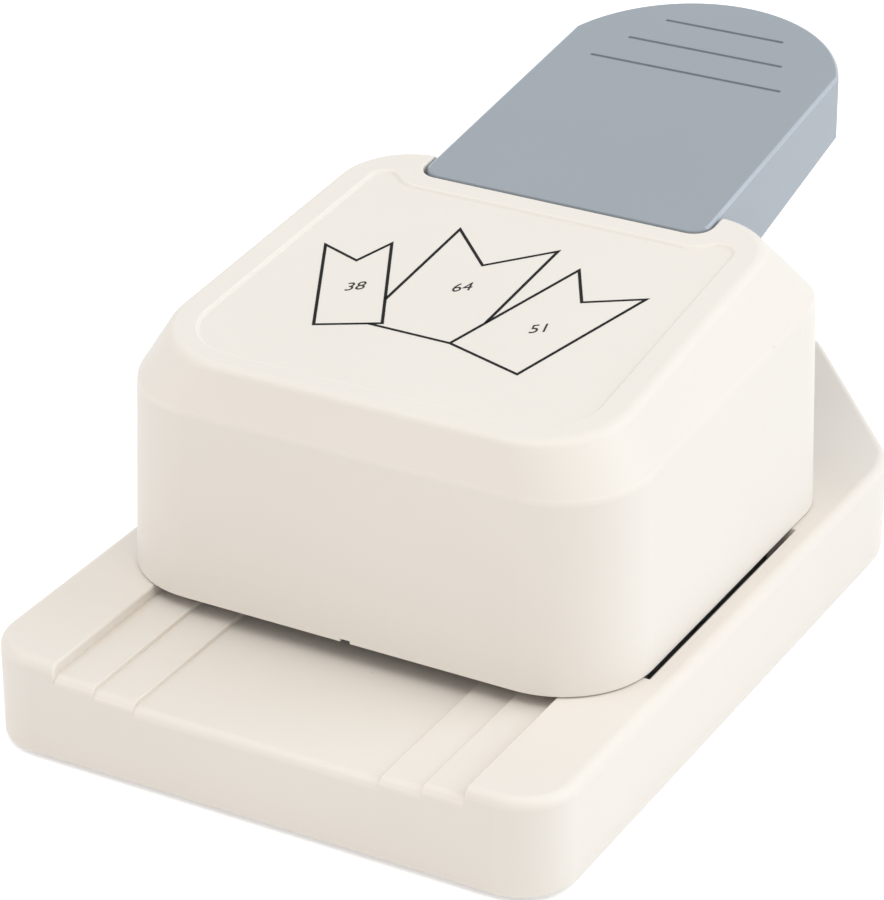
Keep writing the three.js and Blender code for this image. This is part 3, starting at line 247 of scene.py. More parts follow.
@named
class PunchLever(bpy.types.PropertyGroup):
    """Sizes of the lever moulding"""

    axle_place: length(AXLE[1], "Place of the axle")
    axle_height: length(AXLE[2], "Height of the axle")
    bore_radius: length(2.6, "Radius of the axle's bore")
    tilt: angle(7.77, "Rise of the top face")
    belly: angle(11.5, "Rise of the underside")
    tip: length(151, "Place of the rounded end")
    tip_height: length(66.35, "Height of the top face at the end")
    tip_depth: length(9.3, "Depth of the skirt at the end")
    front_width: length(46.42, "Width at the notch")
    rear_width: length(44.96, "Width where the round end starts")
    end_radius: length(24.21, "Radius of the round end")
    top_wall: length(2.4, "Thickness of the top")
    side_wall: length(2.2, "Thickness of the skirts")
    step: length(3.6, "Drop to the part under the head")
    notch_gap: length(0.4, "Gap to the head's notch")
    belly_height: length(47.5, "Height of the level underside")
    waist_place: length(58, "Place of the waist")
    waist_height: length(44.4, "Height of the waist")
    web_front: length(46, "Front end of the lower top face")
    web_rear: length(84, "Where the waist's line ends")
    eye_radius: length(5.5, "Radius of the eyes round the axle")
    eye_width: length(4.8, "Width of each eye")
    draft: length(0.21, "How far the sides lean in up to the top edge")
    top_edge: length(0.45, "Rounding of the top edge")
    front_edge_share: number(0.3, "Rounding of the front edge over that of the sides")
    skirt_edge: length(0.5, "Rounding of the lower edge")
    groove_count: count(3, "Number of grip grooves")
    groove_spacing: length(7.05, "From one groove to the next")
    groove_place: length(142.35, "Place of the last groove")
    groove_half: length(10.05, "Half length of the last groove")
    groove_growth: length(3, "How much longer each half gets")
    groove_width: length(0.65, "Width of a groove")
    groove_depth: length(0.3, "Depth of a groove")
    roller_place: length(ROLLER_PIN[1], "Place of the roller's pin")
    roller_height: length(ROLLER_PIN[2], "Height of the roller's pin")
    pin_radius: length(1.55, "Radius of the pin's bore")
    lug_inner: length(7, "Inner side of each lug")
    lug_width: length(3, "Width of each lug")
    lug_radius: length(3.6, "Radius round the pin")


@named
class PunchPrint(bpy.types.PropertyGroup):
    """Sizes of the printed label outlines and their width numbers"""

    line: length(0.46, "Thickness of the outlines")
    ink: length(0.03, "Thickness of the ink")
    lift: length(0.005, "Space under the ink")
    share: number(0.2495, "Drawn width of a label over its real width")
    number_height: length(3, "Size of the numbers")
    number_turn: angle(35, "Turn of the numbers")
    number_lean: number(0.4, "Slant of the numbers")
    left_length: length(22.4, "Drawn length of the left label")
    left_turn: angle(26, "Turn of the left label")
    middle_length: length(28.6, "Drawn length of the middle label")
    right_length: length(26, "Drawn length of the right label")
    right_turn: angle(-15.7, "Turn of the right label")


@named
class PunchFasteners(bpy.types.PropertyGroup):
    """Sizes of the screws, springs and feet"""

    screw_radius: length(1.5, "Radius of the head screws")
    small_screw_radius: length(1.25, "Radius of the other screws")
    bore_play: length(0.1, "How much wider a screw's bore is than the screw, at each side")
    head_share: number(1.85, "Radius of a screw's head over its own radius")
    head_height: length(1.6, "Height of a screw's head")
    thread_depth: length(0.28, "Depth of the thread")
    thread_pitch: length(0.9, "Distance between turns of the thread")
    recess_width: length(0.5, "Width of the cross recess")
    recess_depth: length(0.7, "Depth of the cross recess")
    coil_radius: length(3.6, "Middle radius of the springs")
    wire: length(0.8, "Thickness of the springs' wire")
    coil_turns: number(6.5, "Turns of the springs, with their closed ends")
    closed_turns: number(0.9, "Turns that lie close at each end")
    coil_bottom: length(20.1, "Level of the springs' lower end")
    coil_top: length(34, "Level of the springs' upper end")
    travel: length(8, "How far the ram goes down")
    broken_edge: length(0.15, "Width of the broken edges of the pieces inside")
    foot_radius: length((FOOT_HIGH[0] - FOOT_LOW[0]) / 2, "Radius of the feet")
    foot_thickness: length(FOOT_HIGH[2], "Thickness of the feet")


@named
class PunchFinish(bpy.types.PropertyGroup):
    """Colours of the materials"""

    cream: colour((232, 227, 220), "Base and head")
    blue_grey: colour((151, 159, 168), "Lever")
    dark: colour((62, 64, 67), "Bottom plate")
    rubber: colour((70, 71, 74), "Feet")
    ground: colour((190, 192, 196), "Die, blade, posts, axle and roller")
    black: colour((66, 62, 58), "Ram, guide, spacer and brackets")
    zinc: colour((198, 200, 202), "Screws and pin")
    spring: colour((160, 162, 166), "Springs and rings")
    bronze: colour((178, 140, 82), "Bushes")
    ink: colour((16, 16, 18), "Printed outlines")
    faint_ink: colour((52, 50, 50), "Printed numbers")


@named
class PunchStudio(bpy.types.PropertyGroup):
    """Light, floor and camera"""

    ambient: number(0.63, "Strength of the even light")
    right_low: number(1.4, "Power of the low light at the right")
    right_rear: number(2.6, "Power of the cool light behind the machine at the right")
    left_low: number(1.0, "Power of the low light in front at the left")
    left_high: number(1.85, "Power of the high light in front at the left")
    right_high: number(1.55, "Power of the high warm light in front at the right")
    floor: colour((244, 244, 244), "Floor under the machine")
    floor_lift: number(0.4, "How far the floor is lifted to white for the camera")
    lens: number(152.5, "Focal length in millimetres on a sensor 36 mm wide")


@named
class PunchSettings(bpy.types.PropertyGroup):
    """All settings of the label punch"""

    base: PointerProperty(type=PunchBase)
    channel: PointerProperty(type=PunchChannel)
    head: PointerProperty(type=PunchHead)
    panel: PointerProperty(type=PunchPanel)
    lever: PointerProperty(type=PunchLever)
    print: PointerProperty(type=PunchPrint)
    fasteners: PointerProperty(type=PunchFasteners)
    finish: PointerProperty(type=PunchFinish)
    studio: PointerProperty(type=PunchStudio)


class Part:
    """Reads one part's settings, with its lengths in millimetres"""

    def __init__(self, name):
        self.name = name

    def __getattr__(self, key):
        group = getattr(bpy.context.scene.label_punch, self.name)
        value = getattr(group, key)
        return round(value * 1000, 4) if group.bl_rna.properties[key].unit == "LENGTH" else value


parts = [Part(name) for name in PunchSettings.__annotations__]
base, channel, head, panel, lever, printed, fasteners, finish, studio = parts


# Outlines and solids
def arc(x, y, radius, start, end, steps):
    return {"x": x, "y": y, "radius": radius, "start": start, "end": end, "steps": steps}


def outline(arcs, inset=0.0):
    """Points of arcs joined by straight lines, anticlockwise, moved inwards by the inset"""
    points = []
    for a in arcs:
        radius = a["radius"] - inset
        for i in range(a["steps"] + 1):
            turn = a["start"] + (a["end"] - a["start"]) * i / a["steps"]
            points.append((a["x"] + radius * math.cos(turn), a["y"] + radius * math.sin(turn)))
    return points


def corner_arcs(front, rear, steps=16):
    """Four rounded corners: front and rear are (place, width, radius)"""
    front_y, front_width, front_radius = front
    rear_y, rear_width, rear_radius = rear
    front_x = front_width / 2 - front_radius
    rear_x = rear_width / 2 - rear_radius
    low = front_y + front_radius
    high = rear_y - rear_radius
    return [
        arc(front_x, low, front_radius, -RIGHT, 0, steps),
        arc(rear_x, high, rear_radius, 0, RIGHT, steps),
        arc(-rear_x, high, rear_radius, RIGHT, 2 * RIGHT, steps),
        arc(-front_x, low, front_radius, 2 * RIGHT, 3 * RIGHT, steps),
    ]


def raised(points, height_at):
    return [Vector((x, y, height_at(y))) for x, y in points]


def quarter(radius, steps):
    """Inset and drop of the rings that round an edge, from the wall to the face"""
    for i in range(steps + 1):
        turn = RIGHT * i / steps
        yield radius * (1 - math.cos(turn)), radius * (1 - math.sin(turn))


def rounded_rings(a, b, c, reach, steps):
    """Rings that round the corner b between the faces towards a and towards c"""
    rings = []
    for i in range(steps + 1):
        t = i / steps
        ring = []
        for before, corner, after in zip(a, b, c):
            start = corner + (before - corner).normalized() * reach
            end = corner + (after - corner).normalized() * reach
            ring.append(start.lerp(corner, t).lerp(corner.lerp(end, t), t))
        rings.append(ring)
    return rings


def shape(points, faces):
    """A mesh whose faces point outwards"""
    mesh = bpy.data.meshes.new("shape")
    mesh.from_pydata([tuple(p) for p in points], [], faces)
    work = bmesh.new()
    work.from_mesh(mesh)
    bmesh.ops.recalc_face_normals(work, faces=work.faces)
    work.to_mesh(mesh)
    work.free()
    return mesh


def loft(rings):
    """The closed solid between rings of equal count"""
    size = len(rings[0])
    points = [p for ring in rings for p in ring]
    faces = [tuple(reversed(range(size))), tuple(range(len(points) - size, len(points)))]
    for k in range(len(rings) - 1):
        for i in range(size):
            a = k * size + i
            b = k * size + (i + 1) % size
            faces.append((a, b, b + size, a + size))
    return shape(points, faces)


def prism(points, low, high, axis="Z"):
    """An outline drawn out along an axis. Its own two axes are the other two, in the order X, Y, Z."""
    order = {"Z": lambda u, v, w: (u, v, w), "X": lambda u, v, w: (w, u, v), "Y": lambda u, v, w: (u, w, v)}
    place = order[axis]
    return loft([[Vector(place(u, v, level)) for u, v in points] for level in (low, high)])


def slab(half, front, rear, low, high):
    return prism([(-half, front), (half, front), (half, rear), (-half, rear)], low, high)


def disc(radius, x=0.0, y=0.0, sides=48):
    turns = [2 * math.pi * i / sides for i in range(sides)]
    return [(x + radius * math.cos(t), y + radius * math.sin(t)) for t in turns]


def rods(places, radius, low, high, axis="Z", sides=48):
    """One mesh of a rod at each place"""
    return gathered([prism(disc(radius, x, y, sides), low, high, axis) for x, y in places])


def gathered(meshes):
    """Meshes that don't touch, as one mesh"""
    work = bmesh.new()
    for mesh in meshes:
        work.from_mesh(mesh)
        bpy.data.meshes.remove(mesh)
    whole = bpy.data.meshes.new("shape")
    work.to_mesh(whole)
    work.free()
    return whole


def on_bench(mesh):
    obj = bpy.data.objects.new("work", mesh)
    bpy.context.scene.collection.objects.link(obj)
    return obj


def off_bench(objects):
    for obj in objects:
        mesh = obj.data
        bpy.data.objects.remove(obj)
        bpy.data.meshes.remove(mesh)


def baked(obj):
    """A plain mesh of the object with its modifiers"""
    graph = bpy.context.evaluated_depsgraph_get()
    graph.update()
    return bpy.data.meshes.new_from_object(obj.evaluated_get(graph))


def combined(body, operation, tools):
    """The body with each tool joined to it, cut from it, or kept in common with it"""
    work = on_bench(body)
    parts = [on_bench(tool) for tool in tools]
    for part in parts:
        step = work.modifiers.new("step", "BOOLEAN")
        step.operation = operation
        step.solver = "EXACT"
        step.object = part
    result = baked(work)
    off_bench([work, *parts])
    return result


def softened(mesh, radius_at, steps=4):
    """The mesh with its sharp edges rounded by the radius that radius_at(middle, normals) gives"""
    work = bmesh.new()
    work.from_mesh(mesh)
    bmesh.ops.remove_doubles(work, verts=work.verts, dist=WELD)
    bmesh.ops.dissolve_degenerate(work, edges=work.edges, dist=WELD)
    weight = work.edges.layers.float.new("bevel_weight_edge")
    for edge in work.edges:
        if len(edge.link_faces) != 2 or edge.calc_face_angle(0) < ROUNDED_FROM:
            continue
        middle = (edge.verts[0].co + edge.verts[1].co) / 2
        edge[weight] = radius_at(middle, [face.normal for face in edge.link_faces]) / OVERRUN
    work.to_mesh(mesh)
    work.free()
    obj = on_bench(mesh)
    bevel = obj.modifiers.new("round", "BEVEL")
    bevel.limit_method = "WEIGHT"
    bevel.width = OVERRUN
    bevel.segments = steps
    bevel.use_clamp_overlap = False
    result = baked(obj)
    off_bench([obj])
    return result


def flat_part(first, done):
    """The faces in one plane with the first, and how narrow and how sharply turned outwards they are"""
    same_plane, corner, least_area = 0.01, 0.9, 0.0002
    faces, area, rim, turn = [first], 0, 0, 0
    done.add(first)
    for face in faces:
        area += face.calc_area()
        for edge in face.edges:
            angle = edge.calc_face_angle_signed(0)
            if len(edge.link_faces) == 2 and abs(angle) < same_plane:
                beside = [other for other in edge.link_faces if other not in done]
                done.update(beside)
                faces.extend(beside)
                continue
            rim += edge.calc_length()
            if angle < corner:
                turn = max(turn, angle)
    return faces, turn * rim / max(2 * area, least_area)


def with_edges_marked(mesh, radius=0.5, sides=0.0, start=-FAR):
    """The mesh with a value for each face: 1 on outer edges rounded by the radius or less, near 0 on flat
    parts, and the sides' value where a face looks sideways. Faces in front of the start have 0."""
    work = bmesh.new()
    work.from_mesh(mesh)
    worn = work.faces.layers.float.new("worn edge")
    done = set()
    for first in work.faces:
        if first in done:
            continue
        faces, sharpness = flat_part(first, done)
        for face in faces:
            side = sides * max(0, 2 * abs(face.normal.x) - 1)
            value = max(min(1, radius * sharpness), side)
            face[worn] = value if face.calc_center_median().y > start else 0
    work.to_mesh(mesh)
    work.free()
    return mesh


def into_frame(mesh):
    to_middle = Matrix.Translation((0, -base.length / 2, 0))
    mesh.transform(Matrix.Diagonal((0.001, 0.001, 0.001, 1)) @ to_middle)


def mend(mesh, weld=0.0):
    """Joins points closer than the weld. Takes out leaves, which are two faces on the same points, and
    loose edges."""
    work = bmesh.new()
    work.from_mesh(mesh)
    if weld:
        bmesh.ops.remove_doubles(work, verts=work.verts, dist=weld)
    sides = {}
    for face in work.faces:
        sides.setdefault(frozenset(face.verts), []).append(face)
    leaves = [face for faces in sides.values() if len(faces) > 1 for face in faces]
    bmesh.ops.delete(work, geom=leaves, context="FACES")
    bmesh.ops.delete(work, geom=[edge for edge in work.edges if not edge.link_faces], context="EDGES")
    work.to_mesh(mesh)
    work.free()


def shade_evenly(obj):
    normals = obj.modifiers.new("even shading", "WEIGHTED_NORMAL")
    normals.keep_sharp = True


def delivered(name, mesh, body, material, stands_for=()):
    """A finished piece: in the frame, smooth with sharp corners kept, and riding on its body"""
    into_frame(mesh)
    mend(mesh)
    mesh.name = name
    mesh.materials.clear()
    mesh.materials.append(material)
    mesh.polygons.foreach_set("use_smooth", [True] * len(mesh.polygons))
    mesh.set_sharp_from_angle(angle=SHARP_FROM)
    obj = bpy.data.objects.new(name, mesh)
    bpy.context.scene.collection.objects.link(obj)
    shade_evenly(obj)
    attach(obj, body)
    if stands_for:
        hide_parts(*stands_for)
    return obj


# Nodes of materials and of repeated pieces
def add(tree, kind, values=None, **options):
    """A node with its options and its input values; a value that is a socket is linked"""
    node = tree.nodes.new(kind)
    for key, value in options.items():
        setattr(node, key, value)
    for key, value in (values or {}).items():
        if isinstance(value, bpy.types.NodeSocket):
            tree.links.new(value, node.inputs[key])
        else:
            node.inputs[key].default_value = value
    return node


def new_finish(name, values):
    """A material with one shader, whose even values are set on the shader"""
    material = bpy.data.materials.new(name)
    material.use_nodes = True
    tree = material.node_tree
    shader = tree.nodes["Principled BSDF"]
    for key, value in values.items():
        shader.inputs[key].default_value = value
    place = add(tree, "ShaderNodeTexCoord").outputs["Object"]
    return material, tree, shader, place


def noise(tree, place, scale, detail=3.0, roughness=0.5, stretch=None):
    if stretch:
        place = add(tree, "ShaderNodeMapping", {"Vector": place, "Scale": stretch}).outputs["Vector"]
    values = {"Vector": place, "Scale": scale, "Detail": detail, "Roughness": roughness}
    return add(tree, "ShaderNodeTexNoise", values).outputs["Fac"]


def between(tree, value, low, high, to_low, to_high):
    values = {"Value": value, "From Min": low, "From Max": high, "To Min": to_low, "To Max": to_high}
    return add(tree, "ShaderNodeMapRange", values).outputs["Result"]


def mixed(tree, factor, first, second):
    mix = add(tree, "ShaderNodeMix", data_type="RGBA")
    tree.links.new(factor, mix.inputs["Factor"])
    for socket, value in ((mix.inputs[6], first), (mix.inputs[7], second)):
        if isinstance(value, bpy.types.NodeSocket):
            tree.links.new(value, socket)
        else:
            socket.default_value = (*value, 1)
    return mix.outputs[2]


def shaded(shade, share):
    return tuple(min(1.0, level * share) for level in shade)


def coated(tree, shader, tint, roughness):
    tree.links.new(tint, shader.inputs["Base Color"])
    tree.links.new(roughness, shader.inputs["Roughness"])


def bumped(tree, shader, height, strength, distance):
    values = {"Height": height, "Strength": strength, "Distance": distance}
    bump = add(tree, "ShaderNodeBump", values)
    tree.links.new(bump.outputs["Normal"], shader.inputs["Normal"])


def moulded_plastic(name, shade, roughness, speck_share, edge_share):
    """Satin moulded plastic: faint clouds, a fine grain, a few tiny specks and edges rubbed lighter"""
    material, tree, shader, place = new_finish(name, {"IOR": 1.46, "Specular IOR Level": 0.42})
    clouds = between(tree, noise(tree, place, 22, 4), 0.3, 0.7, 0, 1)
    tint = mixed(tree, clouds, shaded(shade, 0.985), shaded(shade, 1.012))
    values = {"Vector": place, "Scale": 230.0, "Randomness": 1.0}
    cells = add(tree, "ShaderNodeTexVoronoi", values).outputs
    chance = add(tree, "ShaderNodeSeparateColor", {"Color": cells["Color"]}).outputs["Red"]
    size = between(tree, chance, 0.9, 1.0, 0.0, 0.045)
    specks = calculated(tree, "LESS_THAN", cells["Distance"], size)
    specks = calculated(tree, "MULTIPLY", specks, speck_share)
    tint = mixed(tree, specks, tint, shaded(shade, 0.45))
    smears = noise(tree, place, 70, 3, stretch=(1, 0.35, 1))
    worn = add(tree, "ShaderNodeAttribute", attribute_name="worn edge").outputs["Fac"]
    rubbed = calculated(tree, "MULTIPLY", between(tree, smears, 0.3, 0.6, 0.7, 1.0), worn)
    tint = mixed(tree, rubbed, tint, shaded(shade, edge_share))
    satin = between(tree, smears, 0.25, 0.75, roughness - 0.035, roughness + 0.035)
    satin = calculated(tree, "SUBTRACT", satin, calculated(tree, "MULTIPLY", rubbed, 0.08))
    coated(tree, shader, tint, satin)
    bumped(tree, shader, noise(tree, place, 2400, 2, 0.6), 0.35, 0.00002)
    return material


def moulded_black_plastic(name, shade):
    """Coarser textured plastic for the underside"""
    material, tree, shader, place = new_finish(name, {"IOR": 1.46, "Specular IOR Level": 0.4})
    clouds = noise(tree, place, 30, 4)
    tint = mixed(tree, clouds, shaded(shade, 0.9), shaded(shade, 1.12))
    coated(tree, shader, tint, between(tree, clouds, 0.2, 0.8, 0.5, 0.64))
    bumped(tree, shader, noise(tree, place, 1500, 2, 0.6), 0.6, 0.00005)
    return material


def moulded_rubber(name, shade):
    """Dull rubber with dust"""
    material, tree, shader, place = new_finish(name, {"IOR": 1.5, "Specular IOR Level": 0.3})
    dust = noise(tree, place, 180, 5, 0.65)
    tint = mixed(tree, dust, shaded(shade, 0.85), shaded(shade, 1.3))
    coated(tree, shader, tint, between(tree, dust, 0.2, 0.8, 0.75, 0.92))
    bumped(tree, shader, noise(tree, place, 900, 3), 0.5, 0.00006)
    return material


def worked_steel(name, shade, roughness, stretch, scratch, metallic=1.0):
    """Metal with tool marks drawn out along one direction"""
    material, tree, shader, place = new_finish(name, {"Metallic": metallic})
    marks = noise(tree, place, 900, 3, 0.6, stretch)
    clouds = between(tree, noise(tree, place, 60, 4), 0.35, 0.75, 0, 0.3)
    tint = mixed(tree, marks, shaded(shade, 0.86), shaded(shade, 1.08))
    tint = mixed(tree, clouds, tint, shaded(shade, 0.8))
    coated(tree, shader, tint, between(tree, marks, 0.2, 0.8, roughness - 0.06, roughness + 0.08))
    bumped(tree, shader, marks, scratch, 0.00002)
    return material


def sintered_bronze(name, shade):
    """Pressed and sintered bronze with open pores"""
    material, tree, shader, place = new_finish(name, {"Metallic": 1.0})
    pores = add(tree, "ShaderNodeTexVoronoi", {"Vector": place, "Scale": 2200.0}).outputs["Distance"]
    depth = between(tree, pores, 0.1, 0.45, 0, 1)
    tint = mixed(tree, depth, shaded(shade, 0.55), shaded(shade, 1.05))
    coated(tree, shader, tint, between(tree, pores, 0.1, 0.5, 0.6, 0.38))
    bumped(tree, shader, depth, 0.4, 0.00004)
    return material


def printed_ink(name, shade):
    """Thin satin ink, a little worn"""
    material, tree, shader, place = new_finish(name, {"IOR": 1.45, "Specular IOR Level": 0.12})
    wear = noise(tree, place, 1200, 3, 0.6)
    tint = mixed(tree, between(tree, wear, 0.55, 0.8, 0, 1), tuple(shade), shaded(shade, 2.2))
    coated(tree, shader, tint, between(tree, wear, 0.3, 0.7, 0.42, 0.55))
    return material


def finishes():
    """The machine's materials by name, made once"""
    if "cream plastic" not in bpy.data.materials:
        moulded_plastic("cream plastic", finish.cream, 0.46, 0.35, 1.06)
        moulded_plastic("blue grey plastic", finish.blue_grey, 0.44, 0.25, 1.5)
        moulded_black_plastic("dark plastic", finish.dark)
        moulded_rubber("rubber", finish.rubber)
        worked_steel("ground steel", finish.ground, 0.3, (1, 0.06, 1), 0.3)
        worked_steel("black steel", finish.black, 0.42, (1, 1, 1), 0.25, 0.8)
        worked_steel("zinc plate", finish.zinc, 0.34, (1, 1, 0.2), 0.2)
        worked_steel("spring steel", finish.spring, 0.32, (0.3, 0.3, 1), 0.25)
        sintered_bronze("bronze", finish.bronze)
        printed_ink("ink", finish.ink)
        printed_ink("number ink", finish.faint_ink)
    return bpy.data.materials


# Base moulding
def base_arcs():
    half = base.width / 2
    side_place = base.side_length - base.side_radius * math.tan(base.rear_cut / 2)
    rear_corner = half - (base.length - base.side_length) * math.tan(base.rear_cut)
    rear_radius = rear_corner / math.tan((RIGHT - base.rear_cut) / 2)
    front_x = half - base.front_radius
    side_x = half - base.side_radius
    rear_y = base.length - rear_radius
    return [
        arc(front_x, base.front_radius, base.front_radius, -RIGHT, 0, 16),
        arc(side_x, side_place, base.side_radius, 0, base.rear_cut, 16),
        arc(0, rear_y, rear_radius, base.rear_cut, 2 * RIGHT - base.rear_cut, 48),
        arc(-side_x, side_place, base.side_radius, 2 * RIGHT - base.rear_cut, 2 * RIGHT, 16),
        arc(-front_x, base.front_radius, base.front_radius, 2 * RIGHT, 3 * RIGHT, 16),
    ]


def channel_levels():
    rim = base.stand + base.height
    wide = rim - channel.rim_step
    middle = wide - channel.strip_step
    return rim, wide, middle, middle - channel.strip_step


def strip_path(width, level):
    """What is cut away over one step of the channel, with its floor rounded off at the front face"""
    rim = channel_levels()[0]
    radius = channel.lip_radius
    rear = channel.well_front + OVERRUN
    profile = [(-OVERRUN, rim + OVERRUN), (-OVERRUN, level - radius)]
    profile += outline([arc(radius, level - radius, radius, 2 * RIGHT, RIGHT, 8)])
    profile += [(rear, level), (rear, rim + OVERRUN)]
    return prism(profile, -width / 2, width / 2, "X")


def base_body():
    arcs = base_arcs()
    rim = base.stand + base.height
    rings = []
    for inset, drop in reversed(list(quarter(base.lower_edge_radius, 3))):
        rings.append(raised(outline(arcs, inset), lambda y, d=drop: base.stand + d))
    for inset, drop in quarter(base.edge_radius, 8):
        rings.append(raised(outline(arcs, inset), lambda y, d=drop: rim - d))
    return loft(rings)


def base_edge_radius(middle, normals):
    """Rounds the rim along the channel and the channel's steps"""
    rim, wide, step, narrow = channel_levels()
    if middle.y > channel.well_front - 1 or abs(middle.x) > channel.wide / 2 + 0.5:
        return 0
    side = min(abs(abs(middle.x) - width / 2) for width in (channel.wide, channel.middle, channel.narrow))
    if side > NEAR or max(abs(n.x) for n in normals) < 0.9:
        return 0
    if abs(abs(middle.x) - channel.wide / 2) < NEAR:
        floor = wide
        radius = channel.rim_radius
    else:
        floor = step if abs(abs(middle.x) - channel.middle / 2) < NEAR else narrow
        radius = channel.step_radius
    at_lip = middle.y < channel.lip_radius and middle.z < floor + NEAR / 2
    at_foot = abs(middle.z - floor) < NEAR or at_lip
    return 0 if at_foot else radius


def side_pockets():
    """Pockets in the rim along the head's side walls, open under the walls into the well"""
    rim, wide, middle, narrow = channel_levels()
    start, end = channel.pocket_start, channel.pocket_end
    profile = [
        (start, rim),
        (start + channel.pocket_front_ramp, narrow - channel.pocket_depth),
        (end - channel.pocket_rear_ramp, narrow - channel.pocket_depth),
        (end, rim),
        (end, rim + OVERRUN),
        (start, rim + OVERRUN),
    ]
    inner, outer = channel.pocket_inner, channel.pocket_outer
    return [prism(profile, inner, outer, "X"), prism(profile, -outer, -inner, "X")]


def bore(radius):
    return radius + fasteners.bore_play


def base_moulding():
    arcs = base_arcs()
    rim, wide, middle, narrow = channel_levels()
    underside = narrow - base.deck
    joined = underside + 1
    hollow = prism(outline(arcs, base.wall), base.stand - OVERRUN, underside)
    body = combined(base_body(), "DIFFERENCE", [hollow])
    wall, inset = channel.well_wall, channel.ledge_width
    half, front, rear = channel.well_half, channel.well_front, channel.well_rear
    bottom, top = channel.chute_bottom, channel.ledge_top
    ledge_bottom = top - channel.ledge_thickness
    posts_bottom = underside - base.post_length
    added = [
        slab(half + wall, front - wall, rear + wall, bottom, joined),
        rods(HEAD_SCREWS, base.post_radius, posts_bottom, joined),
        rods(BOTTOM_SCREWS, base.bottom_post_radius, bottom, joined),
    ]
    cut = [
        slab(half, front, rear, top, rim + OVERRUN),
        slab(half - inset, front + inset, rear - inset, ledge_bottom - OVERRUN, top + OVERRUN),
        slab(half, front, rear, bottom - OVERRUN, ledge_bottom),
        strip_path(channel.wide, wide),
        strip_path(channel.middle, middle),
        strip_path(channel.narrow, narrow),
        *side_pockets(),
        rods(HEAD_SCREWS, bore(fasteners.screw_radius), posts_bottom - OVERRUN, rim + OVERRUN),
        rods(BOTTOM_SCREWS, bore(fasteners.small_screw_radius), bottom - OVERRUN, underside),
    ]
    return combined(combined(body, "UNION", added), "DIFFERENCE", cut)


# Head moulding
def head_lines():
    """Heights of the shoulder and of the top at a place along Y"""
    shoulder = lambda y: head.shoulder_height + (y - head.front) * math.tan(head.shoulder_slope)
    top = lambda y: head.top_height + (y - head.top_front) * math.tan(head.top_slope)
    return shoulder, top


def head_arcs():
    rear = head.front + head.length
    walls = corner_arcs((head.front, head.width, head.front_radius), (rear, head.width, head.rear_radius))
    top_rear = head.top_front + head.top_length
    top = corner_arcs(
        (head.top_front, head.top_front_width, head.top_front_radius),
        (top_rear, head.top_rear_width, head.top_rear_radius),
    )
    return walls, top


def head_bottom():
    return base.stand + base.height + head.seam


def head_outside():
    walls, top = head_arcs()
    shoulder_at, top_at = head_lines()
    bottom = head_bottom()
    wall = raised(outline(walls), lambda y: bottom)
    shoulder = raised(outline(walls, head.draft), shoulder_at)
    edge = raised(outline(top), top_at)
    inner = raised(outline(top, head.top_fillet * 2), top_at)
    rings = []
    for inset, drop in reversed(list(quarter(head.lower_edge, 3))):
        lean = head.draft * drop / (head.shoulder_height - bottom)
        rings.append(raised(outline(walls, inset + lean), lambda y, d=drop: bottom + d))
    rings += rounded_rings(wall, shoulder, edge, head.shoulder_fillet, 10)
    rings += rounded_rings(shoulder, edge, inner, head.top_fillet, 6)
    return loft(rings)


def head_hollow():
    """The wall's thickness is kept under the sloped bands and the top"""
    walls, top = head_arcs()
    shoulder_at, top_at = head_lines()
    wall = raised(outline(walls, head.wall), lambda y: head_bottom() - OVERRUN)
    shoulder = raised(outline(walls, head.draft + head.wall), lambda y: shoulder_at(y) - 0.3 * head.wall)
    edge = raised(outline(top, 0.6 * head.wall), lambda y: top_at(y) - head.wall)
    return loft([wall, shoulder, edge])


def bent(points, start, bends, steps=10):
    """Adds a smooth bend from start through its control points"""
    line = [Vector(start), *(Vector(p) for p in bends)]
    for i in range(1, steps + 1):
        t = i / steps
        level = line
        while len(level) > 1:
            level = [a.lerp(b, t) for a, b in zip(level, level[1:])]
        points.append(tuple(level[0]))


def panel_outline(inset):
    """The panel in the top's own plane, from its front edge, with an ear on each side of the lever"""
    front_half = head.top_front_width / 2 - panel.side_margin
    rear_half = head.top_rear_width / 2 - panel.side_margin - inset
    rear = head.notch_front - panel.rear_margin - inset
    tip = rear + panel.ear
    ear_inner = rear_half - panel.ear_width + 2 * inset
    ear_middle = (rear_half + ear_inner) / 2
    radius = panel.front_radius
    dip = (ear_middle, tip - panel.ear_dip)
    right = outline([arc(front_half - radius, panel.front_margin + radius, radius, -RIGHT, 0, 16)], inset)
    right.append((rear_half, rear))
    bent(right, right[-1], [(rear_half, tip), (rear_half - panel.ear, tip), dip])
    bent(right, right[-1], [(ear_inner + panel.ear_reach, rear), (ear_inner, rear)])
    return right + [(-x, y) for x, y in reversed(right)]


def panel_recess():
    """What is cut away over the panel, with sloping edges"""
    floor, rim = panel_outline(panel.slope), panel_outline(0)
    levels = ((floor, -panel.depth), (rim, 0), (rim, OVERRUN))
    return loft([raised(plan, lambda y: level) for plan, level in levels])


def on_top(mesh):
    """Turns a shape drawn from the top's front edge into the top's plane"""
    place = Matrix.Translation((0, head.top_front, head.top_height))
    mesh.transform(place @ Matrix.Rotation(head.top_slope, 4, "X"))
    return mesh


def notch_edge_place():
    return head.top_front + head.notch_front * math.cos(head.top_slope)


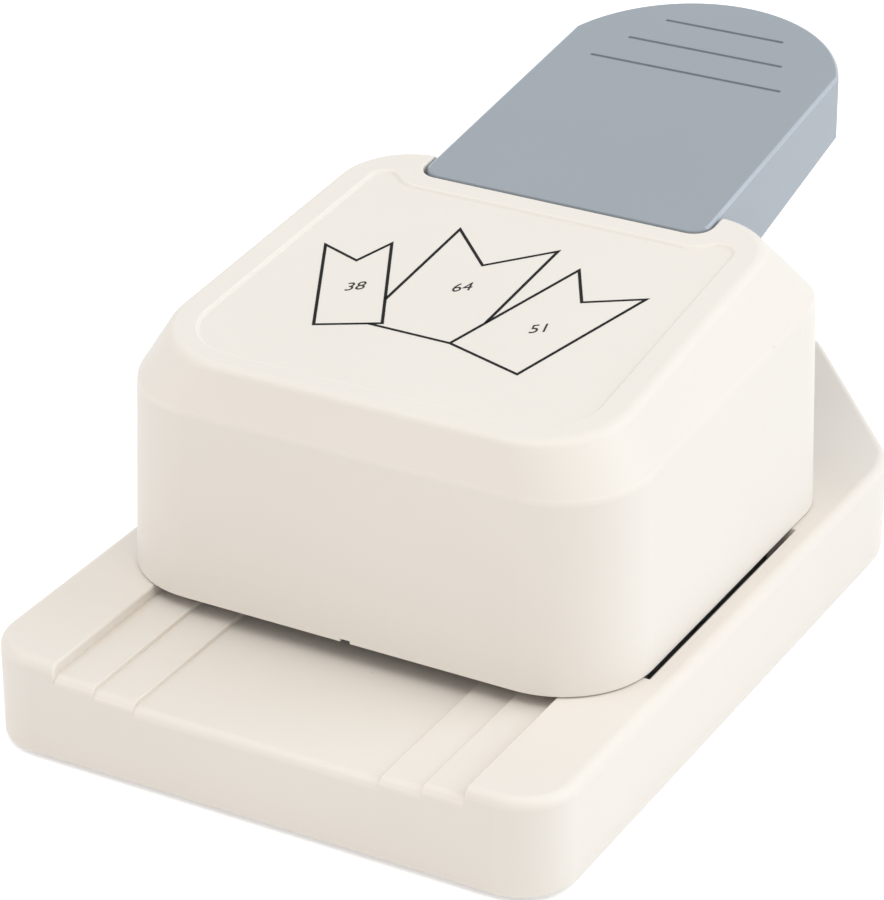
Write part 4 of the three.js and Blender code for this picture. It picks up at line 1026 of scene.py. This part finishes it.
def head_edge_radius(middle, normals):
    """Rounds the outer edge round the lever's notch and the rear opening, and the panel's edge"""
    shoulder_at, top_at = head_lines()
    half = head.notch_width / 2
    notch = notch_edge_place()
    outward = (middle - Vector((0, head.front + head.length / 2, head.top_height / 2))).normalized()
    outer = max(n.dot(outward) for n in normals) > 0.35
    behind = middle.y > notch - 2 * NEAR and middle.z > head.sill - 2 * NEAR
    if outer and behind and abs(middle.x) < half + 2 * NEAR:
        return head.notch_edge
    on_face = abs(middle.z - top_at(middle.y)) < NEAR
    if on_face and middle.y < notch - 4 * NEAR and min(n.z for n in normals) < 0.95:
        return panel.edge
    return 0


def head_moulding():
    bottom = head_bottom()
    rear = head.front + head.length
    notch = (notch_edge_place(), head.notch_width, head.notch_radius)
    beyond = (rear + FAR, head.notch_width, head.notch_radius)
    sill = (head.sill, head.notch_width, head.notch_radius)
    bosses = rods(HEAD_SCREWS, head.boss_radius, bottom, bottom + head.boss_height)
    mark = (head.front - OVERRUN, head.front + OVERRUN, bottom - 1, bottom + panel.mark_height)
    cut = [
        prism(outline(corner_arcs(notch, beyond, 12)), head.shoulder_height, FAR),
        prism(outline(corner_arcs(sill, beyond, 12)), rear - head.wall - 2 * OVERRUN, rear + OVERRUN, "Y"),
        on_top(panel_recess()),
        slab(panel.mark_width / 2, *mark),
        rods(HEAD_SCREWS, bore(fasteners.screw_radius), bottom - OVERRUN, bottom + head.bore_depth),
    ]
    shell = combined(head_outside(), "DIFFERENCE", [head_hollow()])
    shell = combined(shell, "UNION", [bosses])
    return softened(combined(shell, "DIFFERENCE", cut), head_edge_radius)


# Lever moulding
def lever_top_at(y):
    return lever.tip_height - (lever.tip - y) * math.tan(lever.tilt)


def handle_front():
    return notch_edge_place() + lever.notch_gap


def handle_outline(inset, front_share=1.0):
    """The handle's plan: straight front edge with rounded corners, tapering sides, round end"""
    radius = lever.end_radius - inset
    centre = lever.tip - lever.end_radius
    start = math.acos((lever.rear_width / 2 - inset) / radius)
    corner = head.notch_radius - inset / 2
    front = (handle_front() + inset * front_share, lever.front_width - 2 * inset, corner)
    corners = corner_arcs(front, front, 12)
    return outline([corners[0], arc(0, centre, radius, start, math.pi - start, 64), corners[3]])


def arm_profile():
    """Side view of the part inside the head"""
    rear = handle_front() + 2 * head.notch_radius
    place, height, radius = lever.axle_place, lever.axle_height, lever.eye_radius
    return [
        (place, height - radius),
        (place + radius / 2, height - radius),
        (lever.waist_place, lever.waist_height),
        (lever.web_rear, lever.belly_height),
        (rear, lever.belly_height),
        (rear, lever_top_at(rear) - lever.step),
        (lever.web_front, lever_top_at(lever.web_front) - lever.step),
        (place, height + radius),
    ]


def handle_solid():
    """The handle with its rounded top edge, cut along the belly"""
    rings = [raised(handle_outline(0), lambda y: lever.belly_height - 3 * OVERRUN)]
    for inset, drop in quarter(lever.top_edge, 8):
        plan = handle_outline(inset + lever.draft, lever.front_edge_share)
        rings.append(raised(plan, lambda y, d=drop: lever_top_at(y) - d))
    rise = math.tan(lever.belly)
    tip_bottom = lever.tip_height - lever.tip_depth
    belly_end = lever.tip - (tip_bottom - lever.belly_height) / rise
    below = [
        (0, 0),
        (lever.tip + OVERRUN, 0),
        (lever.tip + OVERRUN, tip_bottom + OVERRUN * rise),
        (belly_end, lever.belly_height),
        (0, lever.belly_height),
    ]
    return combined(loft(rings), "DIFFERENCE", [prism(below, -FAR, FAR, "X")])


def lever_hollow():
    rear = lever.tip + OVERRUN
    step_rear = handle_front() + lever.top_wall
    web_top = lambda y: lever_top_at(y) - lever.step - lever.top_wall
    profile = [
        (0, 0),
        (rear, 0),
        (rear, lever_top_at(rear) - lever.top_wall),
        (step_rear, lever_top_at(step_rear) - lever.top_wall),
        (step_rear, web_top(step_rear)),
        (lever.web_front, web_top(lever.web_front)),
        (lever.web_front, FAR),
        (0, FAR),
    ]
    inner = lever.front_width / 2 - lever.side_wall
    plan = slab(inner, 0, handle_front() + 2 * head.notch_radius, 0, FAR)
    plan = combined(plan, "UNION", [prism(handle_outline(lever.side_wall), 0, FAR)])
    return combined(prism(profile, -FAR, FAR, "X"), "INTERSECT", [plan])


def grip_groove(place, half):
    """A groove with round ends, sunk into the tilted top face"""
    radius = lever.groove_width / 2
    reach = half - radius
    ends = [arc(reach, 0, radius, -RIGHT, RIGHT, 8), arc(-reach, 0, radius, RIGHT, 3 * RIGHT, 8)]
    groove = prism(outline(ends), -lever.groove_depth, OVERRUN)
    on_face = Matrix.Translation((0, place, lever_top_at(place)))
    groove.transform(on_face @ Matrix.Rotation(lever.tilt, 4, "X"))
    return groove


def lever_edge_radius(middle, normals):
    """Rounds the lower edge of the handle's skirt"""
    if middle.y < handle_front() + 4 * NEAR or middle.z > lever_top_at(middle.y) - lever.top_wall / 2:
        return 0
    centre = Vector((0, min(middle.y, lever.tip - lever.end_radius), middle.z))
    outward = (middle - centre).normalized()
    outer = max(n.dot(outward) for n in normals) > 0.6
    return lever.skirt_edge if outer and min(n.z for n in normals) < -0.6 else 0


def lever_moulding():
    """Handle and arms, with eyes on the axle and lugs for the roller's pin"""
    half = lever.front_width / 2
    arms = prism(arm_profile(), lever.draft - half, half - lever.draft, "X")
    body = combined(handle_solid(), "UNION", [arms])
    beyond = [(-FAR, -FAR), (lever.axle_place, -FAR), (lever.axle_place, FAR), (-FAR, FAR)]
    body = combined(body, "DIFFERENCE", [lever_hollow(), prism(beyond, -FAR, FAR, "X")])
    web = lever_top_at(lever.roller_place) - lever.step - lever.top_wall / 2
    axle = [(lever.axle_place, lever.axle_height)]
    place, height, radius = lever.roller_place, lever.roller_height, lever.lug_radius
    lug = outline([arc(place, height, radius, 2 * RIGHT, 4 * RIGHT, 16)])
    lug += [(place + radius, web), (place - radius, web)]
    ends = []
    for side in (-1, 1):
        inner, outer = sorted((side * lever.lug_inner, side * (lever.lug_inner + lever.lug_width)))
        ends.append(prism(lug, inner, outer, "X"))
        inner, outer = sorted((side * half, side * (half - lever.eye_width)))
        ends.append(rods(axle, lever.eye_radius, inner, outer, "X"))
    body = combined(body, "UNION", ends)
    grooves = []
    for i in range(lever.groove_count):
        groove_place = lever.groove_place - i * lever.groove_spacing
        grooves.append(grip_groove(groove_place, lever.groove_half + i * lever.groove_growth))
    cut = [
        rods(axle, lever.bore_radius, -FAR, FAR, "X"),
        rods([(place, height)], lever.pin_radius, -half, half, "X"),
        gathered(grooves),
    ]
    return softened(combined(body, "DIFFERENCE", cut), lever_edge_radius)


# Print on the top panel
def turned(point, turn, corner):
    x, y = point
    return (
        corner[0] + x * math.cos(turn) - y * math.sin(turn),
        corner[1] + x * math.sin(turn) + y * math.cos(turn),
    )


def label_outline(corner, turn, strip, far):
    """A strip with a right-angled swallowtail at its far end, from its near left corner"""
    width = strip * printed.share
    plain = [(0, 0), (width, 0), (width, far), (width / 2, far - width / 2), (0, far)]
    return [turned(point, turn, corner) for point in plain]


# Near left corners of the labels and middles of the numbers, in the top's plane from its front edge
LEFT_CORNER = (-15.4, 15.65)
MIDDLE_CORNER = (-9.7, 18.96)
RIGHT_CORNER = (4.26, 18.96)
NUMBERS = {"38": (-15.6, 26.9), "64": (-1.7, 32.8), "51": (13.4, 27.2)}


def label_outlines():
    left = label_outline(LEFT_CORNER, printed.left_turn, channel.narrow, printed.left_length)
    middle = label_outline(MIDDLE_CORNER, 0, channel.wide, printed.middle_length)
    right = label_outline(RIGHT_CORNER, printed.right_turn, channel.middle, printed.right_length)
    return left, middle, right


def covered(point, cover):
    """Whether a point lies inside a closed outline"""
    inside = False
    for a, b in zip(cover, cover[1:] + cover[:1]):
        if (a[1] > point[1]) != (b[1] > point[1]):
            crossing = a[0] + (b[0] - a[0]) * (point[1] - a[1]) / (b[1] - a[1])
            inside = inside != (crossing > point[0])
    return inside


def open_stretches(closed, covers, steps=400):
    """Stretches of a closed outline that no cover hides, each as a row of points"""
    stretches = []
    current = []
    for a, b in zip(closed, closed[1:] + closed[:1]):
        for i in range(steps):
            t = i / steps
            point = (a[0] + (b[0] - a[0]) * t, a[1] + (b[1] - a[1]) * t)
            if any(covered(point, cover) for cover in covers):
                if len(current) > 1:
                    stretches.append(current)
                current = []
            elif not current or i == 0:
                current.append(point)
                current.append(point)
            else:
                current[-1] = point
        if current:
            current[-1] = b
    if len(current) > 1:
        stretches.append(current)
    if len(stretches) > 1 and stretches[0][0] == closed[0] and stretches[-1][-1] == closed[0]:
        stretches[0] = stretches.pop() + stretches[0]
    return [without_repeats(row) for row in stretches]


def without_repeats(row):
    """The row's points, each at least a small step from the one before"""
    kept = [row[0]]
    for point in row[1:]:
        if math.dist(point, kept[-1]) > NEAR / 5:
            kept.append(point)
    return kept


def line_rows(points, closed):
    """Left and right edge points of a line of even thickness with mitred corners"""
    half = printed.line / 2
    vectors = [Vector(p) for p in points]
    total = len(vectors)
    rows = []
    for i, here in enumerate(vectors):
        before = vectors[(i - 1) % total] if closed or i > 0 else None
        after = vectors[(i + 1) % total] if closed or i + 1 < total else None
        first = (here - before).normalized() if before is not None else (after - here).normalized()
        second = (after - here).normalized() if after is not None else first
        normal = Vector((-first.y - second.y, first.x + second.x)).normalized()
        spread = half / max(0.3, normal.dot(Vector((-first.y, first.x))))
        rows.append((here + normal * spread, here - normal * spread))
    return rows


def printed_line(points, closed):
    """A thin slab of ink along a line, on the panel's floor"""
    low = printed.lift - panel.depth
    high = low + printed.ink
    rows = line_rows(points, closed)
    verts = []
    for left, right in rows:
        verts += [(*left, low), (*right, low), (*right, high), (*left, high)]
    faces = []
    last = len(rows) if closed else len(rows) - 1
    for i in range(last):
        a, b = 4 * i, 4 * ((i + 1) % len(rows))
        faces += [(a + k, a + (k + 1) % 4, b + (k + 1) % 4, b + k) for k in range(4)]
    if not closed:
        faces += [(3, 2, 1, 0), tuple(4 * last + k for k in range(4))]
    return shape(verts, faces)


def printed_number(text, centre):
    """A small slanted number lying in the panel"""
    words = bpy.data.curves.new("number", "FONT")
    words.body = text
    words.size = printed.number_height
    words.shear = printed.number_lean
    words.align_x = "CENTER"
    words.align_y = "CENTER"
    words.extrude = printed.ink / 2
    obj = bpy.data.objects.new("number", words)
    bpy.context.scene.collection.objects.link(obj)
    mesh = baked(obj)
    bpy.data.objects.remove(obj)
    bpy.data.curves.remove(words)
    low = printed.lift - panel.depth + printed.ink / 2
    mesh.transform(Matrix.Translation((*centre, low)) @ Matrix.Rotation(printed.number_turn, 4, "Z"))
    mend(mesh, WELD)
    return mesh


# Repeated pieces, each from its own node tree
SOCKETS = {float: "NodeSocketFloat", tuple: "NodeSocketVector", bpy.types.Material: "NodeSocketMaterial"}


def new_tree(name, values):
    """An empty node tree with a named input for each value, which is its default"""
    tree = bpy.data.node_groups.new(name, "GeometryNodeTree")
    tree.interface.new_socket("Geometry", in_out="INPUT", socket_type="NodeSocketGeometry")
    for label, value in values.items():
        socket = tree.interface.new_socket(label, in_out="INPUT", socket_type=SOCKETS[type(value)])
        socket.default_value = value
    tree.interface.new_socket("Geometry", in_out="OUTPUT", socket_type="NodeSocketGeometry")
    return tree, add(tree, "NodeGroupInput"), add(tree, "NodeGroupOutput")


def calculated(tree, operation, first, second=0.0):
    node = add(tree, "ShaderNodeMath", {0: first, 1: second}, operation=operation)
    return node.outputs["Value"]


def vector(tree, x=0.0, y=0.0, z=0.0):
    return add(tree, "ShaderNodeCombineXYZ", {"X": x, "Y": y, "Z": z}).outputs["Vector"]


def moved(tree, mesh, by):
    return add(tree, "GeometryNodeTransform", {"Geometry": mesh, "Translation": by}).outputs["Geometry"]


def swept(tree, path, section):
    """The path drawn out with the section, closed at its ends"""
    values = {"Curve": path, "Profile Curve": section, "Fill Caps": True}
    return add(tree, "GeometryNodeCurveToMesh", values).outputs["Mesh"]


def circle(tree, sides, radius):
    values = {"Resolution": sides, "Radius": radius}
    return add(tree, "GeometryNodeCurvePrimitiveCircle", values).outputs["Curve"]


def spiral(tree, sides, turns, radius, height):
    values = {"Resolution": sides, "Rotations": turns, "Height": height}
    values |= {"Start Radius": radius, "End Radius": radius}
    return add(tree, "GeometryNodeCurveSpiral", values).outputs["Curve"]


def repeated(tree, size, result, instance, **turn):
    """Ends a tree: the instance on each point, as real geometry with the given material"""
    values = {"Points": size["Geometry"], "Instance": instance, **turn}
    placed = add(tree, "GeometryNodeInstanceOnPoints", values)
    real = add(tree, "GeometryNodeRealizeInstances", {"Geometry": placed.outputs["Instances"]})
    values = {"Geometry": real.outputs["Geometry"], "Material": size["Material"]}
    done = add(tree, "GeometryNodeSetMaterial", values)
    tree.links.new(done.outputs["Geometry"], result.inputs["Geometry"])
    return tree


def screw_tree(name, values):
    """A cross-head screw with a domed head and a real thread, at each point"""
    tree, given, result = new_tree(name, values)
    size = given.outputs
    half_height = calculated(tree, "DIVIDE", size["Head Height"], 2.0)
    values = {"Vertices": 40, "Side Segments": 6, "Radius": size["Head Radius"], "Depth": size["Head Height"]}
    body = add(tree, "GeometryNodeMeshCylinder", values)
    position = add(tree, "GeometryNodeInputPosition").outputs["Position"]
    split = add(tree, "ShaderNodeSeparateXYZ", {0: position}).outputs
    rise = calculated(tree, "ADD", calculated(tree, "DIVIDE", split["Z"], size["Head Height"]), 0.5)
    dome = calculated(tree, "MULTIPLY", calculated(tree, "POWER", rise, 3.0), 0.3)
    narrowing = calculated(tree, "SUBTRACT", 1.0, dome)
    x, y = (calculated(tree, "MULTIPLY", split[axis], narrowing) for axis in "XY")
    domed = vector(tree, x, y, calculated(tree, "ADD", split["Z"], half_height))
    top = add(tree, "GeometryNodeSetPosition", {"Geometry": body.outputs["Mesh"], "Position": domed})
    reach = calculated(tree, "MULTIPLY", size["Radius"], 2.0)
    depth = calculated(tree, "MULTIPLY", size["Recess Depth"], 2.0)
    values = {"Mesh 1": top.outputs["Geometry"], "Self Intersection": True}
    cut = add(tree, "GeometryNodeMeshBoolean", values, operation="DIFFERENCE", solver="EXACT")
    for x, y in ((reach, size["Recess Width"]), (size["Recess Width"], reach)):
        bar = add(tree, "GeometryNodeMeshCube", {"Size": vector(tree, x, y, depth)}).outputs["Mesh"]
        tree.links.new(moved(tree, bar, vector(tree, z=size["Head Height"])), cut.inputs["Mesh 2"])
    core_radius = calculated(tree, "SUBTRACT", size["Radius"], size["Thread Depth"])
    values = {"Vertices": 24, "Radius": core_radius, "Depth": size["Shank Length"]}
    core = add(tree, "GeometryNodeMeshCylinder", values).outputs["Mesh"]
    half_down = calculated(tree, "MULTIPLY", size["Shank Length"], -0.5)
    core = moved(tree, core, vector(tree, z=half_down))
    threaded = calculated(tree, "SUBTRACT", size["Shank Length"], size["Thread Pitch"])
    turns = calculated(tree, "DIVIDE", threaded, size["Thread Pitch"])
    path = spiral(tree, 16, turns, core_radius, threaded)
    thread = swept(tree, path, circle(tree, 4, size["Thread Depth"]))
    bottom = calculated(tree, "SUBTRACT", 0.0, calculated(tree, "ADD", threaded, size["Thread Depth"]))
    thread = moved(tree, thread, vector(tree, z=bottom))
    whole = add(tree, "GeometryNodeJoinGeometry")
    for piece in (thread, core, cut.outputs["Mesh"]):
        tree.links.new(piece, whole.inputs["Geometry"])
    return repeated(tree, size, result, whole.outputs["Geometry"], Rotation=size["Turn"])


def spring_tree(name, values):
    """A compression spring with closed ends, at each point"""
    tree, given, result = new_tree(name, values)
    size = given.outputs
    path = spiral(tree, 40, size["Turns"], size["Coil Radius"], 1.0)
    climb = calculated(tree, "SUBTRACT", size["Height"], size["Wire"])
    share = calculated(tree, "DIVIDE", size["Closed Turns"], size["Turns"])
    rest = calculated(tree, "SUBTRACT", 1.0, share)
    middle = calculated(tree, "SUBTRACT", climb, calculated(tree, "MULTIPLY", size["Wire"], 2.0))
    along = add(tree, "GeometryNodeSplineParameter").outputs["Factor"]
    height = calculated(tree, "MULTIPLY", size["Wire"], 0.5)
    section = circle(tree, 14, height)
    for start, end, rise in ((0.0, share, size["Wire"]), (share, rest, middle), (rest, 1.0, size["Wire"])):
        height = calculated(tree, "ADD", height, between(tree, along, start, end, 0.0, rise))
    position = add(tree, "GeometryNodeInputPosition").outputs["Position"]
    split = add(tree, "ShaderNodeSeparateXYZ", {0: position}).outputs
    lifted = vector(tree, split["X"], split["Y"], height)
    coil = add(tree, "GeometryNodeSetPosition", {"Geometry": path, "Position": lifted})
    return repeated(tree, size, result, swept(tree, coil.outputs["Geometry"], section))


def foot_tree(name, values):
    """A round rubber foot, at each point"""
    tree, given, result = new_tree(name, values)
    size = given.outputs
    values = {"Vertices": 64, "Radius": size["Radius"], "Depth": size["Thickness"]}
    pad = add(tree, "GeometryNodeMeshCylinder", values).outputs["Mesh"]
    pad = moved(tree, pad, vector(tree, z=calculated(tree, "MULTIPLY", size["Thickness"], 0.5)))
    return repeated(tree, size, result, pad)


def at_places(name, make_tree, places, values):
    """A plain mesh of a tree's pieces at points, given in millimetres"""
    tree = bpy.data.node_groups.get(name) or make_tree(name, values)
    points = bpy.data.meshes.new("places")
    points.from_pydata(places, [], [])
    obj = on_bench(points)
    modifier = obj.modifiers.new("pieces", "NODES")
    modifier.node_group = tree
    for item in tree.interface.items_tree:
        if item.in_out == "INPUT" and item.name in values:
            modifier[item.identifier] = values[item.name]
    mesh = baked(obj)
    obj.modifiers.remove(modifier)
    off_bench([obj])
    return mesh


def joined_faces_tree():
    """Joins a solid's loose triangles and shades them smooth"""
    tree, given, result = new_tree("joined faces", {"Distance": WELD / 1000})
    values = {"Geometry": given.outputs["Geometry"], "Distance": given.outputs["Distance"]}
    merged = add(tree, "GeometryNodeMergeByDistance", values)
    smooth = add(tree, "GeometryNodeSetShadeSmooth", {"Geometry": merged.outputs["Geometry"]})
    tree.links.new(smooth.outputs["Geometry"], result.inputs["Geometry"])
    return tree


# Operators
class LABELPUNCH_OT_base(bpy.types.Operator):
    """Base moulding with the stepped paper channel"""

    bl_idname = "label_punch.base"
    bl_label = "Base Moulding"

    def execute(self, context):
        mesh = with_edges_marked(softened(base_moulding(), base_edge_radius))
        delivered("base_moulding", mesh, "base", finishes()["cream plastic"], ["base_shell"])
        return {"FINISHED"}


class LABELPUNCH_OT_head(bpy.types.Operator):
    """Head moulding with its panel and the lever's notch"""

    bl_idname = "label_punch.head"
    bl_label = "Head Moulding"

    def execute(self, context):
        mesh = with_edges_marked(head_moulding())
        delivered("head_moulding", mesh, "base", finishes()["cream plastic"], ["head_shell"])
        return {"FINISHED"}


class LABELPUNCH_OT_lever(bpy.types.Operator):
    """Lever moulding with its grip grooves"""

    bl_idname = "label_punch.lever"
    bl_label = "Lever Moulding"

    def execute(self, context):
        material = finishes()["blue grey plastic"]
        mesh = with_edges_marked(lever_moulding(), sides=0.25, start=handle_front() + 2)
        delivered("lever_moulding", mesh, "lever", material, ["lever"])
        return {"FINISHED"}


class LABELPUNCH_OT_print(bpy.types.Operator):
    """Printed label outlines and their widths in millimetres"""

    bl_idname = "label_punch.print"
    bl_label = "Print"

    def execute(self, context):
        left, middle, right = label_outlines()
        lines = [printed_line(left, True), printed_line(right, True)]
        lines += [printed_line(row, False) for row in open_stretches(middle, [left, right])]
        outlines = on_top(gathered(lines))
        delivered("printed_outlines", outlines, "base", finishes()["ink"])
        numbers = on_top(gathered([printed_number(words, place) for words, place in NUMBERS.items()]))
        delivered("printed_numbers", numbers, "base", finishes()["number ink"])
        return {"FINISHED"}


class LABELPUNCH_OT_screws(bpy.types.Operator):
    """Cross-head screws of every kind"""

    bl_idname = "label_punch.screws"
    bl_label = "Screws"

    def execute(self, context):
        zinc = finishes()["zinc plate"]
        upright = {"die_screw": "base", "bracket_screw": "base", "blade_screw": "ram"}
        for name, body in {"head_screw": "base", "bottom_screw": "base", **upright}.items():
            nodes = numbered(name)
            low, high = node_box(nodes[0])
            inward = fasteners.head_height
            level = high[2] - inward if name in upright else low[2] + inward
            end = low[2] if name in upright else high[2]
            head_radius = (high[0] - low[0]) / 2
            values = {
                "Radius": round(head_radius / fasteners.head_share, 4),
                "Head Radius": head_radius,
                "Head Height": fasteners.head_height,
                "Shank Length": abs(end - level),
                "Thread Depth": fasteners.thread_depth,
                "Thread Pitch": fasteners.thread_pitch,
                "Recess Width": fasteners.recess_width,
                "Recess Depth": fasteners.recess_depth,
                "Turn": (0.0 if name in upright else math.pi, 0.0, 0.0),
                "Material": zinc,
            }
            places = [(x, y, level) for x, y in node_places(name)]
            mesh = at_places("cross-head screws", screw_tree, places, values)
            delivered(name + "s", mesh, body, zinc, nodes)
        return {"FINISHED"}


class LABELPUNCH_OT_springs(bpy.types.Operator):
    """The two return springs, which flatten as the ram goes down"""

    bl_idname = "label_punch.springs"
    bl_label = "Return Springs"

    def execute(self, context):
        steel = finishes()["spring steel"]
        values = {
            "Coil Radius": fasteners.coil_radius,
            "Wire": fasteners.wire,
            "Turns": fasteners.coil_turns,
            "Closed Turns": fasteners.closed_turns,
            "Height": fasteners.coil_top - fasteners.coil_bottom,
            "Material": steel,
        }
        nodes = numbered("return_spring")
        places = [(x, y, fasteners.coil_bottom) for x, y in node_places("guide_post")]
        mesh = at_places("compression springs", spring_tree, places, values)
        springs = delivered("return_springs", mesh, "base", steel, nodes)
        plate, ram = node_box("guide_plate")[1][2], node_box("ram_plate")[0][2]
        keep = 1 - fasteners.travel / (ram - plate)
        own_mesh(springs)
        return {"FINISHED"}


class LABELPUNCH_OT_feet(bpy.types.Operator):
    """Rubber feet"""

    bl_idname = "label_punch.feet"
    bl_label = "Feet"

    def execute(self, context):
        rubber = finishes()["rubber"]
        values = {
            "Radius": fasteners.foot_radius,
            "Thickness": fasteners.foot_thickness,
            "Material": rubber,
        }
        places = [(x, y, 0) for x, y in node_places("foot")]
        mesh = at_places("rubber feet", foot_tree, places, values)
        delivered("rubber_feet", mesh, "base", rubber, numbered("foot"))
        return {"FINISHED"}


INNER_PIECES = {
    "dark plastic": ["bottom_plate"],
    "ground steel": ["die_plate", *numbered("guide_post"), "lever_axle", "punch_blade", "press_roller"],
    "black steel": ["spacer_frame", "guide_plate", "ram_plate", "axle_bracket_left", "axle_bracket_right"],
    "zinc plate": ["roller_pin"],
    "spring steel": [*numbered("post_clip"), "axle_clip_left", "axle_clip_right"],
    "bronze": numbered("guide_bush"),
}


class LABELPUNCH_OT_metal(bpy.types.Operator):
    """Finishes of the bottom plate and of the metal inside"""

    bl_idname = "label_punch.metal"
    bl_label = "Inner Pieces"

    def execute(self, context):
        tree = joined_faces_tree()
        for material, names in INNER_PIECES.items():
            for obj in (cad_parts[name] for name in names):
                for slot in obj.material_slots:
                    slot.material = finishes()[material]
                joined = obj.modifiers.new("joined faces", "NODES")
                joined.node_group = tree
                edges = obj.modifiers.new("edges", "BEVEL")
                edges.limit_method = "ANGLE"
                edges.angle_limit = math.radians(40)
                edges.width = fasteners.broken_edge / 1000
                edges.segments = 2
                edges.harden_normals = False
                shade_evenly(obj)
        return {"FINISHED"}


# Where each lamp stands, in degrees from the lever's side clockwise and above the table, and its tint
LAMPS = {
    "right_low": (90, 15, (1.0, 1.0, 1.0)),
    "right_rear": (60, 40, (0.8, 0.9, 1.0)),
    "left_low": (225, 15, (1.0, 0.78, 0.66)),
    "left_high": (225, 65, (0.78, 0.92, 1.0)),
    "right_high": (135, 65, (1.0, 0.76, 0.52)),
}
# Where the camera stands, in metres, and the line it looks along
CAMERA_PLACE = (0.2296, -0.43976, 0.28084)
CAMERA_LINE = (-0.42854, 0.77639, -0.46214)


class LABELPUNCH_OT_stage(bpy.types.Operator):
    """Floor, lights and camera"""

    bl_idname = "label_punch.stage"
    bl_label = "Stage"

    def execute(self, context):
        pale_floor()
        even_light()
        for name, (azimuth, elevation, tint) in LAMPS.items():
            large_light(name.replace("_", " ") + " light", azimuth, elevation, getattr(studio, name), tint)
        camera = bpy.data.cameras.new("camera")
        camera.lens = studio.lens
        camera.sensor_width = 36
        camera.clip_start = 0.01
        camera.clip_end = 20
        context.scene.camera = looking("camera", camera, CAMERA_PLACE, CAMERA_LINE)
        context.scene.view_settings.view_transform = "Standard"
        return {"FINISHED"}


def looking(name, data, place, line):
    """A camera or lamp at a place, looking along a line"""
    obj = bpy.data.objects.new(name, data)
    obj.location = place
    obj.rotation_mode = "QUATERNION"
    obj.rotation_quaternion = Vector(line).to_track_quat("-Z", "Y")
    bpy.context.scene.collection.objects.link(obj)
    return obj


def white_rays(tree):
    """1 for rays that show the background: straight ones, reflections and what glass lets through"""
    path = add(tree, "ShaderNodeLightPath")
    seen = calculated(tree, "MAXIMUM", path.outputs["Is Camera Ray"], path.outputs["Is Glossy Ray"])
    return calculated(tree, "MAXIMUM", seen, path.outputs["Is Transmission Ray"])


def pale_floor(half=4):
    mesh = bpy.data.meshes.new("floor")
    corners = [(-half, -half, 0), (half, -half, 0), (half, half, 0), (-half, half, 0)]
    mesh.from_pydata(corners, [], [(0, 1, 2, 3)])
    floor = bpy.data.objects.new("floor", mesh)
    bpy.context.scene.collection.objects.link(floor)
    values = {"Roughness": 0.9, "Specular IOR Level": 0.0, "Base Color": (*studio.floor, 1)}
    values["Emission Color"] = (1, 1, 1, 1)
    material, tree, shader, place = new_finish("pale floor", values)
    lift = calculated(tree, "MULTIPLY", white_rays(tree), studio.floor_lift)
    tree.links.new(lift, shader.inputs["Emission Strength"])
    mesh.materials.append(material)


def even_light():
    world = bpy.data.worlds.new("even light")
    bpy.context.scene.world = world
    world.use_nodes = True
    tree = world.node_tree
    background = tree.nodes["Background"]
    background.inputs["Color"].default_value = (1, 1, 1, 1)
    strength = between(tree, white_rays(tree), 0.0, 1.0, studio.ambient, 1.0)
    tree.links.new(strength, background.inputs["Strength"])


def large_light(name, azimuth, elevation, power, tint, distance=1.5, size=0.9):
    """A round lamp that shines on the machine, with the same light on it from any distance"""
    light = bpy.data.lights.new(name, "AREA")
    light.shape = "DISK"
    light.size = size
    light.energy = power * distance * distance
    light.color = tint
    turn, lift = math.radians(azimuth), math.radians(elevation)
    level = math.cos(lift)
    away = Vector((math.sin(turn) * level, math.cos(turn) * level, math.sin(lift)))
    looking(name, light, away * distance, -away)


OPERATORS = (
    LABELPUNCH_OT_base,
    LABELPUNCH_OT_head,
    LABELPUNCH_OT_lever,
    LABELPUNCH_OT_print,
    LABELPUNCH_OT_screws,
    LABELPUNCH_OT_springs,
    LABELPUNCH_OT_feet,
    LABELPUNCH_OT_metal,
    LABELPUNCH_OT_stage,
)


class LABELPUNCH_PT_sidebar(bpy.types.Panel):
    """Lists the pieces and their settings"""

    bl_idname = "LABELPUNCH_PT_sidebar"
    bl_label = "Label Punch"
    bl_space_type = "VIEW_3D"
    bl_region_type = "UI"
    bl_category = "Label Punch"

    def draw(self, context):
        punch = context.scene.label_punch
        for part in PunchSettings.__annotations__:
            box = self.layout.box()
            box.label(text=part.replace("_", " ").title())
            group = getattr(punch, part)
            for key in type(group).__annotations__:
                box.prop(group, key)
        for operator in OPERATORS:
            self.layout.operator(operator.bl_idname)


GROUPS = (
    PunchBase,
    PunchChannel,
    PunchHead,
    PunchPanel,
    PunchLever,
    PunchPrint,
    PunchFasteners,
    PunchFinish,
    PunchStudio,
    PunchSettings,
)
CLASSES = (*GROUPS, *OPERATORS, LABELPUNCH_PT_sidebar)


def register():
    for cls in CLASSES:
        bpy.utils.register_class(cls)
    bpy.types.Scene.label_punch = PointerProperty(type=PunchSettings)


def unregister():
    del bpy.types.Scene.label_punch
    for cls in reversed(CLASSES):
        bpy.utils.unregister_class(cls)


def main():
    register()
    for operator in OPERATORS:
        group, name = operator.bl_idname.split(".")
        getattr(getattr(bpy.ops, group), name)()


if __name__ == "__main__":
    main()
